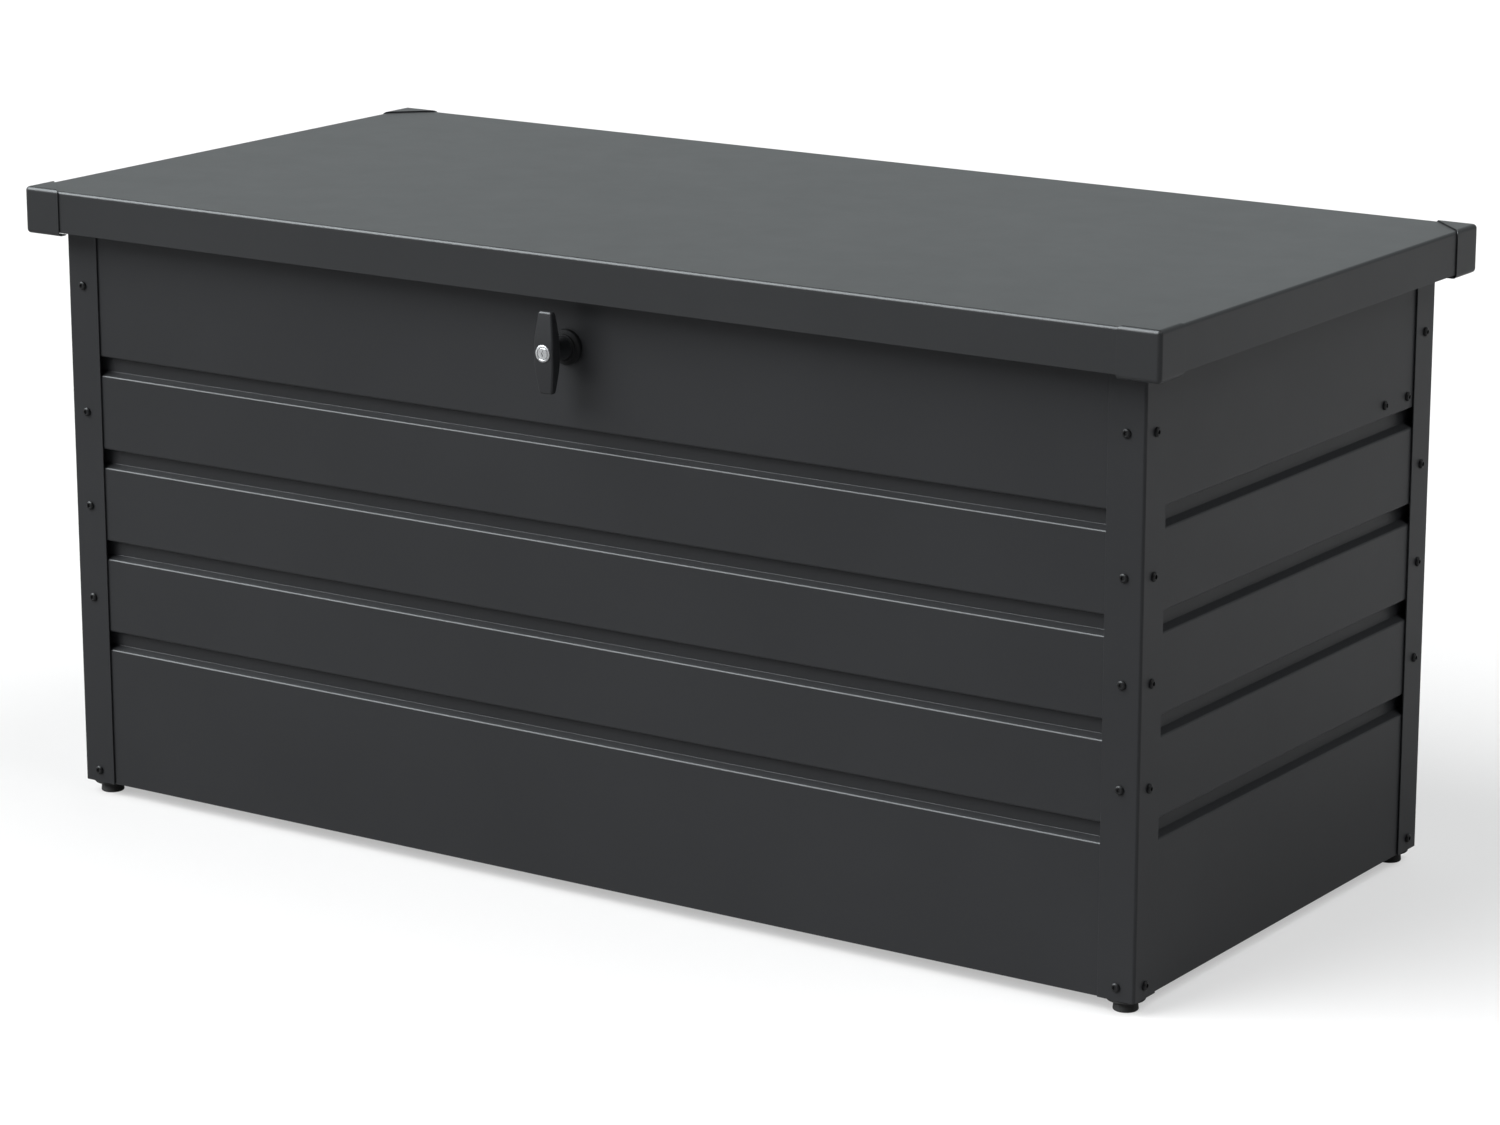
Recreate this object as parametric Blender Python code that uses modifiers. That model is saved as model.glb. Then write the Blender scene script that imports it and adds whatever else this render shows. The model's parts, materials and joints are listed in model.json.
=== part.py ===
"""Steel deck storage box.

Four ribbed sheet walls stand between four corner posts on rubber feet. A folded lid with
corner caps swings on two back hinges, held by two gas struts, and a T-handle lock in the
front wall turns a cam under the lid's keeper. X runs along the box, -Y is its front.
"""

from math import asin, atan2, cos, pi, sin, tan

import bmesh
import bpy
from mathutils import Matrix, Vector

# Clearance between pieces that touch, and between a pin and its bore
GAP = 0.0003

# How finely round and folded shapes are stepped, and how near points merge
ROUND_STEPS = 24
BALL_STEPS = 8
TIP_STEPS = 12
FOLD_STEPS = 2
POST_FOLD_STEPS = 3
BEVEL_SEGMENTS = 3
EDGE_SEGMENTS = 2
HEXAGON = 6
MERGE = 0.00001

# Body, over the corner posts; heights count from the ground
BODY_LENGTH = 1.300
BODY_DEPTH = 0.590
FOOT_HEIGHT = 0.014
BODY_TOP = FOOT_HEIGHT + 0.632

# Corner posts, each an angle of sheet outside the wall panels
POST_FLANGE = 0.040
POST_SHEET = 0.0016
POST_BEND = 0.003

# Wall panels with four level grooves
PANEL_SHEET = 0.0012
GROOVE_COUNT = 4
GROOVE_PITCH = 0.100
GROOVE_LOWEST = FOOT_HEIGHT + 0.150
GROOVE_HEIGHT = 0.0205
GROOVE_DEPTH = 0.009
GROOVE_LEDGE_RISE = 0.004
GROOVE_LIP_BEND = 0.0022
GROOVE_INNER_BEND = 0.0006

# Inner rails: channels carry the floor and the feet, angles stiffen the rim
RAIL_SHEET = 0.0015
BASE_RAIL = 0.025
RIM_RAIL_DROP = 0.030
RIM_RAIL_WIDTH = 0.020

# Floor
FLOOR_SHEET = 0.0012
HAT_SHEET = 0.0012
HAT_FLANGE = 0.018
HAT_CROWN = 0.030
FLOOR_HAT_DROP = 0.020
FLOOR_HAT_X = 0.300

# Feet
FOOT_INSET = 0.020
FOOT_FLANGE_RADIUS = 0.019
FOOT_FLANGE = 0.003
FOOT_RADIUS = 0.0125
FOOT_CHAMFER = 0.001

# Lid
LID_OVERHANG = 0.0285
LID_TOP = FOOT_HEIGHT + 0.649
LID_RIM = 0.044
LID_SHEET = 0.0015
LID_BEND = 0.0035
CAP_SHEET = 0.0012
CAP_LEG = 0.046
CAP_BEND = 0.0045
CAP_DROP = 0.004
CAP_LIP = 0.012
LID_HAT_DROP = 0.020
LID_HAT_LENGTH = 0.500
LID_HAT_X = 0.330
BUFFER_RADIUS = 0.007
BUFFER_X = 0.540

# Hinges, behind the back panel and under the lid's overhang
HINGE_X = 0.400
HINGE_Y = BODY_DEPTH / 2 + 0.013
HINGE_Z = LID_TOP - LID_RIM + 0.005
HINGE_WIDTH = 0.080
KNUCKLE_WIDTH = 0.028
KNUCKLE_RADIUS = 0.0055
PIN_RADIUS = 0.0025
PIN_HEAD_RADIUS = 0.0038
PIN_HEAD = 0.0015
LEAF_SHEET = 0.002
LEAF_DROP = 0.046
LEAF_RISE = 0.026

# Gas struts, one inside each end wall
STRUT_X = 0.612
STRUT_FOOT_Y = 0.218
STRUT_FOOT_Z = FOOT_HEIGHT + 0.486
STRUT_HEAD_Y = HINGE_Y - 0.380
STRUT_HEAD_Z = HINGE_Z + 0.012
CYLINDER_RADIUS = 0.009
CYLINDER_BORE = 0.0076
CYLINDER_START = 0.016
CYLINDER_END = 0.262
GUIDE_LENGTH = 0.014
CYLINDER_WALL = 0.0035
ROD_RADIUS = 0.004
ROD_END = 0.300
PISTON_RADIUS = 0.0073
PISTON_START = 0.024
PISTON_LENGTH = 0.008
SOCKET_RADIUS = 0.0075
SOCKET_WIDTH = 0.014
SOCKET_NECK = 0.005
BALL_RADIUS = 0.005
STUD_RADIUS = 0.003
BRACKET_SHEET = 0.002
BRACKET_HEIGHT = 0.020
BRACKET_LENGTH = 0.070
BRACKET_CROWN = 0.020
BRACKET_RISE = 0.016
BRACKET_SLOPE = 0.004
STUD_REACH = 0.0156
LID_BRACKET_LENGTH = 0.050
LID_BRACKET_FLANGE = 0.028
LID_BRACKET_DROP = 0.036

# T-handle lock, at the middle of the front wall's top band
LOCK_Z = FOOT_HEIGHT + 0.552
ROSETTE_RADIUS = 0.018
ROSETTE = 0.008
ROSETTE_CHAMFER = 0.002
BARREL_RADIUS = 0.0105
BARREL_LENGTH = 0.020
NUT_ACROSS_CORNERS = 0.032
NUT = 0.006
STEM_RADIUS = 0.011
STEM_LENGTH = 0.019
GRIP_HEIGHT = 0.082
GRIP_WIDTH = 0.023
GRIP_END_WIDTH = 0.016
GRIP_WAIST = 0.034
GRIP = 0.0135
GRIP_EDGE = 0.0015
LOCK_RADIUS = 0.0087
LOCK_LENGTH = 0.011
LOCK_PROUD = 0.001
PLUG_RADIUS = 0.0058
KEYWAY_WIDTH = 0.0014
KEYWAY_HEIGHT = 0.0075
KEYWAY_DEPTH = 0.006
SPINDLE_RADIUS = 0.006
SPINDLE_IN_STEM = 0.012
CAM_SHEET = 0.003
CAM_REACH = 0.058
CAM_WIDTH = 0.015
CAM_BACK = 0.0105
CAM_SCREW_RADIUS = 0.003
CAM_SCREW_HEAD = 0.0055
CAM_SCREW_DEPTH = 0.010
KEEPER_X = 0.041
KEEPER_WIDTH = 0.030
KEEPER_SHEET = 0.002
KEEPER_BEHIND_CAM = 0.0085
KEEPER_LUG = 0.014
KEEPER_UNDER_CAM = 0.006
KEEPER_FLANGE = 0.030

# Planes that several pieces share, for the body centred on X = Y = 0
PANEL_X = BODY_LENGTH / 2 - POST_SHEET - GAP
PANEL_Y = BODY_DEPTH / 2 - POST_SHEET - GAP
RAIL_X = PANEL_X - PANEL_SHEET - GAP
RAIL_Y = PANEL_Y - PANEL_SHEET - GAP
LID_X = BODY_LENGTH / 2 + LID_OVERHANG
LID_Y = BODY_DEPTH / 2 + LID_OVERHANG
LID_UNDERSIDE = LID_TOP - LID_SHEET
CAP_PROUD = GAP + CAP_SHEET
HANDLE_REACH = ROSETTE + GAP + STEM_LENGTH + GRIP
CAM_Y = -PANEL_Y + 0.0355

# The body sits off Y = 0 so that the whole outline, from lock face to lid back, is centred
FRONT_REACH = PANEL_Y + HANDLE_REACH + LOCK_PROUD
BACK_REACH = LID_Y + CAP_PROUD
BODY_CENTRE_Y = (FRONT_REACH - BACK_REACH) / 2

QUARTER = pi / 2
SIDES = {"left": -1, "right": 1}
ENDS = {"front": -1, "back": 1}
CORNERS = {
    ("front", "right"): 0.0,
    ("back", "right"): QUARTER,
    ("back", "left"): 2 * QUARTER,
    ("front", "left"): -QUARTER,
}


def clear_scene():
    """Remove every object and every collection the file opened with."""
    for item in list(bpy.data.objects):
        bpy.data.objects.remove(item)
    for group in list(bpy.data.collections):
        bpy.data.collections.remove(group)


def make_collection(name):
    """Add a collection to the scene."""
    group = bpy.data.collections.new(name)
    bpy.context.scene.collection.children.link(group)
    return group


def make_material(name, colour, roughness, metallic):
    """A Principled material of one colour."""
    made = bpy.data.materials.new(name)
    made.use_nodes = True
    made.diffuse_color = (*colour, 1.0)
    shader = made.node_tree.nodes["Principled BSDF"]
    shader.inputs["Base Color"].default_value = (*colour, 1.0)
    shader.inputs["Roughness"].default_value = roughness
    shader.inputs["Metallic"].default_value = metallic
    return made


clear_scene()
PARTS = make_collection("deck_storage_box")
HELPERS = make_collection("helpers")

COAT = make_material("anthracite_powder_coat", (0.042, 0.044, 0.047), 0.45, 0.0)
LID_COAT = make_material("lid_powder_coat", (0.050, 0.053, 0.055), 0.45, 0.0)
ZINC = make_material("zinc_plated_steel", (0.55, 0.56, 0.57), 0.35, 1.0)
BRIGHT = make_material("satin_nickel", (0.72, 0.72, 0.71), 0.28, 1.0)
BLACK_STEEL = make_material("black_enamel", (0.012, 0.012, 0.013), 0.35, 0.0)
RUBBER = make_material("black_rubber", (0.010, 0.010, 0.010), 0.80, 0.0)
PLASTIC = make_material("black_plastic", (0.014, 0.014, 0.015), 0.50, 0.0)


def make_frame(name, parent, location, tilt=0.0):
    """An empty that carries other pieces, tilted about X."""
    frame = bpy.data.objects.new(name, None)
    PARTS.objects.link(frame)
    frame.parent = parent
    frame.location = location
    frame.rotation_euler = (tilt, 0.0, 0.0)
    return frame


BODY = make_frame("body_frame", None, (0.0, BODY_CENTRE_Y, 0.0))
LID = make_frame("lid_frame", BODY, (0.0, HINGE_Y, HINGE_Z))
LOCK = make_frame("lock_frame", BODY, (0.0, -PANEL_Y, LOCK_Z))


def add_piece(name, mesh, coat, parent, location=(0, 0, 0), turn=(0, 0, 0)):
    """Put a mesh into the scene as one named piece of the box."""
    piece = bpy.data.objects.new(name, mesh)
    mesh.materials.append(coat)
    PARTS.objects.link(piece)
    piece.parent = parent
    piece.location = location
    piece.rotation_euler = turn
    return piece


def bent(points, radii, steps=FOLD_STEPS):
    """The path through some points in a plane, with its corners rounded.

    The radii are one for every corner, or a list with one for each.
    """
    path = [Vector(points[0])]
    if isinstance(radii, float):
        radii = [radii] * (len(points) - 2)
    for before, corner, after, radius in zip(points, points[1:], points[2:], radii):
        corner = Vector(corner)
        back = (Vector(before) - corner).normalized()
        ahead = (Vector(after) - corner).normalized()
        half = back.angle(ahead) / 2
        centre = corner + (back + ahead).normalized() * radius / sin(half)
        start = corner + back * radius / tan(half) - centre
        end = corner + ahead * radius / tan(half) - centre
        sweep = atan2(start.x * end.y - start.y * end.x, start.dot(end))
        for step in range(steps + 1):
            path.append(centre + Matrix.Rotation(sweep * step / steps, 2) @ start)
    path.append(Vector(points[-1]))
    return path


def folded_sheet(name, path, length, sheet, coat, parent, location=(0, 0, 0), turn=(0, 0, 0)):
    """A strip of sheet folded along a path in its YZ plane and running along its X.

    The metal lies on the left of the path as seen from +X.
    """
    work = bmesh.new()
    rim = [work.verts.new((-length / 2, y, z)) for y, z in path]
    edges = [work.edges.new(pair) for pair in zip(rim, rim[1:])]
    grown = bmesh.ops.extrude_edge_only(work, edges=edges)["geom"]
    far_rim = [item for item in grown if isinstance(item, bmesh.types.BMVert)]
    bmesh.ops.translate(work, verts=far_rim, vec=(length, 0.0, 0.0))
    mesh = bpy.data.meshes.new(name)
    work.to_mesh(mesh)
    work.free()
    piece = add_piece(name, mesh, coat, parent, location, turn)
    solid = piece.modifiers.new("sheet", "SOLIDIFY")
    solid.thickness = sheet
    solid.offset = 1.0
    solid.use_even_offset = True
    return piece


def turned(name, profile, coat, parent, location=(0, 0, 0), turn=(0, 0, 0), ring=False):
    """A round piece from (radius, height) points that run down its outside.

    A ring's profile closes on itself; any other profile starts and ends on the axis.
    """
    work = bmesh.new()
    points = [work.verts.new((radius, 0.0, height)) for radius, height in profile]
    for pair in zip(points, points[1:]):
        work.edges.new(pair)
    if ring:
        work.edges.new((points[-1], points[0]))
    mesh = bpy.data.meshes.new(name)
    work.to_mesh(mesh)
    work.free()
    piece = add_piece(name, mesh, coat, parent, location, turn)
    spin = piece.modifiers.new("turning", "SCREW")
    spin.steps = ROUND_STEPS
    spin.render_steps = ROUND_STEPS
    spin.use_merge_vertices = True
    spin.merge_threshold = MERGE
    spin.use_smooth_shade = False
    return piece


def flat_piece(name, outline, thickness, coat, parent, location=(0, 0, 0), turn=(0, 0, 0)):
    """A plate of a given outline in its XY plane, centred on that plane."""
    curve = bpy.data.curves.new(name, "CURVE")
    curve.dimensions = "2D"
    curve.fill_mode = "BOTH"
    curve.extrude = thickness / 2
    spline = curve.splines.new("POLY")
    spline.points.add(len(outline) - 1)
    for point, (x, y) in zip(spline.points, outline):
        point.co = (x, y, 0.0, 1.0)
    spline.use_cyclic_u = True
    pattern = bpy.data.objects.new(name + "_pattern", curve)
    HELPERS.objects.link(pattern)
    depsgraph = bpy.context.evaluated_depsgraph_get()
    mesh = bpy.data.meshes.new_from_object(pattern.evaluated_get(depsgraph))
    bpy.data.objects.remove(pattern)
    work = bmesh.new()
    work.from_mesh(mesh)
    bmesh.ops.remove_doubles(work, verts=work.verts, dist=MERGE)
    bmesh.ops.recalc_face_normals(work, faces=work.faces)
    work.to_mesh(mesh)
    work.free()
    mesh.name = name
    return add_piece(name, mesh, coat, parent, location, turn)


def block(name, size, coat, parent, location=(0, 0, 0)):
    """A rectangular piece centred on its origin."""
    work = bmesh.new()
    bmesh.ops.create_cube(work, size=1.0)
    bmesh.ops.scale(work, verts=work.verts, vec=size)
    mesh = bpy.data.meshes.new(name)
    work.to_mesh(mesh)
    work.free()
    return add_piece(name, mesh, coat, parent, location)


def rod(name, radius, length, coat, parent, location=(0, 0, 0), turn=(0, 0, 0), sides=ROUND_STEPS):
    """A cylinder centred on its origin, along its Z."""
    work = bmesh.new()
    bmesh.ops.create_cone(
        work, cap_ends=True, segments=sides, radius1=radius, radius2=radius, depth=length
    )
    mesh = bpy.data.meshes.new(name)
    work.to_mesh(mesh)
    work.free()
    return add_piece(name, mesh, coat, parent, location, turn)


def combine(piece, operation, *tools):
    """Cut tools out of a piece, or join them to it, and set the tools aside."""
    for tool in tools:
        PARTS.objects.unlink(tool)
        HELPERS.objects.link(tool)
        tool.hide_render = True
        tool.display_type = "WIRE"
        step = piece.modifiers.new(operation.lower(), "BOOLEAN")
        step.operation = operation
        step.object = tool
        step.solver = "EXACT"
    return piece


def groove_path():
    """A wall panel's outer face from top to bottom: (depth into the box, height)."""
    path = [(0.0, BODY_TOP)]
    for index in reversed(range(GROOVE_COUNT)):
        bottom = GROOVE_LOWEST + index * GROOVE_PITCH
        top = bottom + GROOVE_HEIGHT
        path.append((0.0, top))
        path.append((GROOVE_DEPTH, top))
        path.append((GROOVE_DEPTH, bottom + GROOVE_LEDGE_RISE))
        path.append((0.0, bottom))
    path.append((0.0, FOOT_HEIGHT))
    one_groove = [GROOVE_LIP_BEND, GROOVE_INNER_BEND, GROOVE_INNER_BEND, GROOVE_LIP_BEND]
    return bent(path, one_groove * GROOVE_COUNT)


def wall_panels():
    """Front and back panels reach into the posts; the end panels fit between them."""
    long_length = 2 * (PANEL_X - POST_BEND)
    end_length = 2 * (PANEL_Y - GROOVE_DEPTH - PANEL_SHEET - GAP)
    walls = [
        ("front_panel", long_length, (0, -PANEL_Y, 0), 0.0),
        ("back_panel", long_length, (0, PANEL_Y, 0), 2 * QUARTER),
        ("right_end_panel", end_length, (PANEL_X, 0, 0), QUARTER),
        ("left_end_panel", end_length, (-PANEL_X, 0, 0), -QUARTER),
    ]
    panels = [
        folded_sheet(
            name, groove_path(), length, PANEL_SHEET, COAT, BODY, location, (0, 0, heading)
        )
        for name, length, location, heading in walls
    ]
    hole = rod(
        "lock_hole", BARREL_RADIUS + GAP, BARREL_LENGTH, COAT, LOCK, turn=(QUARTER, 0, 0)
    )
    front_panel = panels[0]
    combine(front_panel, "DIFFERENCE", hole)


def stood_up(heading):
    """The turn that stands a strip on end, its Y and Z becoming X and Y, then turns it."""
    upright = Matrix(((0, 1, 0), (0, 0, 1), (1, 0, 0)))
    return (Matrix.Rotation(heading, 3, "Z") @ upright).to_euler()


def corner_path(leg, bend):
    """An angle's outer face in plan, around the front right corner."""
    return bent([(-leg, 0.0), (0.0, 0.0), (0.0, leg)], bend, POST_FOLD_STEPS)


def corner_posts():
    """An angle of sheet at each corner, open towards the inside."""
    path = corner_path(POST_FLANGE, POST_BEND)
    height = BODY_TOP - FOOT_HEIGHT
    for (end, side), heading in CORNERS.items():
        corner = (
            SIDES[side] * BODY_LENGTH / 2,
            ENDS[end] * BODY_DEPTH / 2,
            FOOT_HEIGHT + height / 2,
        )
        folded_sheet(
            f"corner_post_{end}_{side}", path, height, POST_SHEET, COAT, BODY,
            corner, stood_up(heading),
        )


def rails():
    """Channels along the bottom of the walls and angles along their top."""
    inner = 2 * (RAIL_Y - BASE_RAIL - GAP)
    rim_inner = 2 * (RAIL_Y - RIM_RAIL_WIDTH - GAP)
    top = FOOT_HEIGHT + BASE_RAIL
    channel = [(BASE_RAIL, top), (0.0, top), (0.0, FOOT_HEIGHT), (BASE_RAIL, FOOT_HEIGHT)]
    angle = [(RIM_RAIL_WIDTH, BODY_TOP), (0.0, BODY_TOP), (0.0, BODY_TOP - RIM_RAIL_DROP)]
    runs = [
        ("front", (0, -RAIL_Y, 0), 0.0),
        ("back", (0, RAIL_Y, 0), 2 * QUARTER),
        ("right", (RAIL_X, 0, 0), QUARTER),
        ("left", (-RAIL_X, 0, 0), -QUARTER),
    ]
    for name, location, heading in runs:
        along = name in ENDS
        turn = (0, 0, heading)
        length = 2 * RAIL_X if along else inner
        folded_sheet(
            f"base_rail_{name}", channel, length, RAIL_SHEET, COAT, BODY, location, turn
        )
        length = 2 * RAIL_X if along else rim_inner
        folded_sheet(
            f"rim_rail_{name}", angle, length, RAIL_SHEET, COAT, BODY, location, turn
        )


def hat_path(drop):
    """A hat section that hangs from Z = 0, with its flanges up."""
    half = HAT_CROWN / 2
    return [
        (half + HAT_FLANGE, 0.0),
        (half, 0.0),
        (half, -drop),
        (-half, -drop),
        (-half, 0.0),
        (-half - HAT_FLANGE, 0.0),
    ]


def floor():
    """A flat floor on the bottom channels, with two hat sections under it."""
    height = FOOT_HEIGHT + BASE_RAIL + GAP
    size = (2 * RAIL_X, 2 * RAIL_Y, FLOOR_SHEET)
    block("floor_panel", size, COAT, BODY, (0, 0, height + FLOOR_SHEET / 2))
    length = 2 * (RAIL_Y - BASE_RAIL - GAP)
    for side, sign in SIDES.items():
        folded_sheet(
            f"floor_stiffener_{side}", hat_path(FLOOR_HAT_DROP), length, HAT_SHEET, COAT, BODY,
            (sign * FLOOR_HAT_X, 0, height - GAP), (0, 0, QUARTER),
        )


def feet():
    """A flanged rubber foot under each corner."""
    top = FOOT_HEIGHT - GAP
    profile = [
        (0.0, top),
        (FOOT_FLANGE_RADIUS, top),
        (FOOT_FLANGE_RADIUS, top - FOOT_FLANGE),
        (FOOT_RADIUS, top - FOOT_FLANGE),
        (FOOT_RADIUS, FOOT_CHAMFER),
        (FOOT_RADIUS - FOOT_CHAMFER, 0.0),
        (0.0, 0.0),
    ]
    for end, back in ENDS.items():
        for side, right in SIDES.items():
            x = right * (BODY_LENGTH / 2 - FOOT_INSET)
            y = back * (BODY_DEPTH / 2 - FOOT_INSET)
            turned(f"foot_{end}_{side}", profile, RUBBER, BODY, (x, y, 0))


def lid_panel():
    """The lid's folded tray: a flat top with a rim turned down all round."""
    work = bmesh.new()
    bmesh.ops.create_cube(work, size=1.0)
    bmesh.ops.scale(work, verts=work.verts, vec=(2 * LID_X, 2 * LID_Y, LID_RIM))
    lowest = min(work.faces, key=lambda face: face.calc_center_median().z)
    bmesh.ops.delete(work, geom=[lowest], context="FACES_ONLY")
    folds = [edge for edge in work.edges if len(edge.link_faces) == 2]
    bmesh.ops.bevel(
        work, geom=folds, offset=LID_BEND, segments=BEVEL_SEGMENTS, profile=0.5, affect="EDGES"
    )
    mesh = bpy.data.meshes.new("lid_panel")
    work.to_mesh(mesh)
    work.free()
    middle = LID_TOP - LID_RIM / 2 - HINGE_Z
    tray = add_piece("lid_panel", mesh, LID_COAT, LID, (0, -HINGE_Y, middle))
    solid = tray.modifiers.new("sheet", "SOLIDIFY")
    solid.thickness = LID_SHEET
    solid.offset = -1.0
    solid.use_even_offset = True


def cap_block(name, height, right, back, bend):
    """A block in a lid corner, bent along its outer upright and its outer level edges."""
    work = bmesh.new()
    bmesh.ops.create_cube(work, size=1.0)
    bmesh.ops.scale(work, verts=work.verts, vec=(CAP_LEG, CAP_LEG, height))

    def outer_faces(edge):
        middle = (edge.verts[0].co + edge.verts[1].co) / 2
        outward = (middle.x * right, middle.y * back, abs(middle.z))
        reach = (CAP_LEG / 2, CAP_LEG / 2, height / 2)
        return sum(place > limit - GAP for place, limit in zip(outward, reach))

    folds = [edge for edge in work.edges if outer_faces(edge) == 2]
    bmesh.ops.bevel(
        work, geom=folds, offset=bend, segments=BEVEL_SEGMENTS, profile=0.5, affect="EDGES"
    )
    mesh = bpy.data.meshes.new(name)
    work.to_mesh(mesh)
    work.free()
    return mesh


def corner_caps():
    """A cap over each lid corner: two short walls, a three-cornered top and a lip below."""
    height = CAP_PROUD + LID_RIM + CAP_DROP
    trim = CAP_SHEET + GAP
    far = 2 * CAP_LEG
    across = [(CAP_LEG - trim, trim), (far, trim), (far, far), (trim, far), (trim, CAP_LEG - trim)]
    for end, back in ENDS.items():
        for side, right in SIDES.items():
            name = f"lid_cap_{end}_{side}"
            corner = Vector((right * (LID_X + CAP_PROUD), back * (LID_Y + CAP_PROUD) - HINGE_Y, 0))
            corner.z = LID_TOP + CAP_PROUD - height / 2 - HINGE_Z
            inward = Vector((-right, -back, 0))
            mesh = cap_block(name, height, right, back, CAP_BEND)
            cap = add_piece(name, mesh, LID_COAT, LID, corner + inward * CAP_LEG / 2)
            mesh = cap_block(
                name + "_hollow", height - 2 * CAP_SHEET, right, back, CAP_BEND - CAP_SHEET
            )
            hollow = add_piece(
                name + "_hollow", mesh, LID_COAT, LID,
                corner + inward * (CAP_LEG / 2 + CAP_SHEET),
            )
            top_trim = flat_piece(
                name + "_top_trim", [(-right * x, -back * y) for x, y in across],
                2 * CAP_BEND, LID_COAT, LID, corner + Vector((0, 0, height / 2)),
            )
            bottom_trim = block(
                name + "_bottom_trim", (far, far, 2 * CAP_BEND), LID_COAT, LID,
                corner + inward * (CAP_LIP + far / 2) - Vector((0, 0, height / 2)),
            )
            combine(cap, "DIFFERENCE", hollow, top_trim, bottom_trim)


def lid_fittings():
    """Stiffeners, buffers and the lock's keeper."""
    under = LID_UNDERSIDE - GAP - HINGE_Z
    for side, sign in SIDES.items():
        folded_sheet(
            f"lid_stiffener_{side}", hat_path(LID_HAT_DROP), LID_HAT_LENGTH, HAT_SHEET,
            LID_COAT, LID, (sign * LID_HAT_X, -HINGE_Y, under), (0, 0, QUARTER),
        )
        height = LID_UNDERSIDE - BODY_TOP - 2 * GAP
        rod(
            f"lid_buffer_{side}", BUFFER_RADIUS, height, RUBBER, BODY,
            (sign * BUFFER_X, RIM_RAIL_WIDTH / 2 - RAIL_Y, BODY_TOP + GAP + height / 2),
        )
    plate_y = CAM_Y + KEEPER_BEHIND_CAM - HINGE_Y
    lug_z = LOCK_Z - CAM_WIDTH / 2 - KEEPER_UNDER_CAM - HINGE_Z
    path = bent(
        [
            (plate_y + KEEPER_FLANGE, under),
            (plate_y, under),
            (plate_y, lug_z),
            (plate_y - KEEPER_LUG, lug_z),
        ],
        KEEPER_SHEET,
    )
    folded_sheet(
        "lock_keeper", path, KEEPER_WIDTH, KEEPER_SHEET, ZINC, LID, (KEEPER_X, 0, 0)
    )


def hinge(side, sign):
    """One butt hinge with offset leaves; its axis is the lid's."""
    along_x = (0, QUARTER, 0)
    x = sign * HINGE_X
    frame = make_frame(f"hinge_{side}_frame", BODY, (x, HINGE_Y, HINGE_Z))
    bore_radius = PIN_RADIUS + GAP
    step_z = KNUCKLE_RADIUS - LEAF_SHEET
    outer_width = (HINGE_WIDTH - KNUCKLE_WIDTH) / 2 - GAP

    name = f"hinge_{side}_body_leaf"
    wall_y = PANEL_Y + GAP - HINGE_Y
    plate_top = LEAF_SHEET - step_z
    leaf = block(
        name, (HINGE_WIDTH, LEAF_SHEET, LEAF_DROP), BLACK_STEEL, frame,
        (0, wall_y + LEAF_SHEET / 2, plate_top - LEAF_DROP / 2),
    )
    for end in (-1, 1):
        middle = end * (HINGE_WIDTH - outer_width) / 2
        step = block(
            f"{name}_step_{end + 1}", (outer_width - GAP, -wall_y - GAP, LEAF_SHEET),
            BLACK_STEEL, frame, (middle, (wall_y + GAP) / 2, -step_z),
        )
        knuckle = rod(
            f"{name}_knuckle_{end + 1}", KNUCKLE_RADIUS, outer_width, BLACK_STEEL, frame,
            (middle, 0, 0), along_x,
        )
        combine(leaf, "UNION", step, knuckle)
    bore = rod(
        name + "_bore", bore_radius, 2 * HINGE_WIDTH, BLACK_STEEL, frame, (0, 0, 0), along_x
    )
    combine(leaf, "DIFFERENCE", bore)

    name = f"hinge_{side}_lid_leaf"
    rim_y = LID_Y - LID_SHEET - GAP - HINGE_Y
    plate_bottom = step_z - LEAF_SHEET
    leaf = block(
        name, (HINGE_WIDTH, LEAF_SHEET, LEAF_RISE), BLACK_STEEL, LID,
        (x, rim_y - LEAF_SHEET / 2, plate_bottom + LEAF_RISE / 2),
    )
    step = block(
        name + "_step", (KNUCKLE_WIDTH - GAP, rim_y - GAP, LEAF_SHEET), BLACK_STEEL, LID,
        (x, (rim_y - GAP) / 2, step_z),
    )
    knuckle = rod(
        name + "_knuckle", KNUCKLE_RADIUS, KNUCKLE_WIDTH, BLACK_STEEL, LID, (x, 0, 0), along_x
    )
    combine(leaf, "UNION", step, knuckle)
    bore = rod(
        name + "_bore", bore_radius, 2 * HINGE_WIDTH, BLACK_STEEL, LID, (x, 0, 0), along_x
    )
    combine(leaf, "DIFFERENCE", bore)

    reach = HINGE_WIDTH / 2 + GAP
    profile = [
        (0.0, reach + PIN_HEAD),
        (PIN_HEAD_RADIUS, reach + PIN_HEAD),
        (PIN_HEAD_RADIUS, reach),
        (PIN_RADIUS, reach),
        (PIN_RADIUS, -reach),
        (PIN_HEAD_RADIUS, -reach),
        (PIN_HEAD_RADIUS, -reach - PIN_HEAD),
        (0.0, -reach - PIN_HEAD),
    ]
    turned(f"hinge_{side}_pin", profile, ZINC, frame, (0, 0, 0), along_x)


def ball_stud_profile(root):
    """A ball centred on the origin on top of a shank that runs down to the root."""
    neck = pi - asin(STUD_RADIUS / BALL_RADIUS)
    angles = [neck * step / BALL_STEPS for step in range(BALL_STEPS + 1)]
    ball = [(BALL_RADIUS * sin(angle), BALL_RADIUS * cos(angle)) for angle in angles]
    return ball + [(STUD_RADIUS, root), (0.0, root)]


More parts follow.
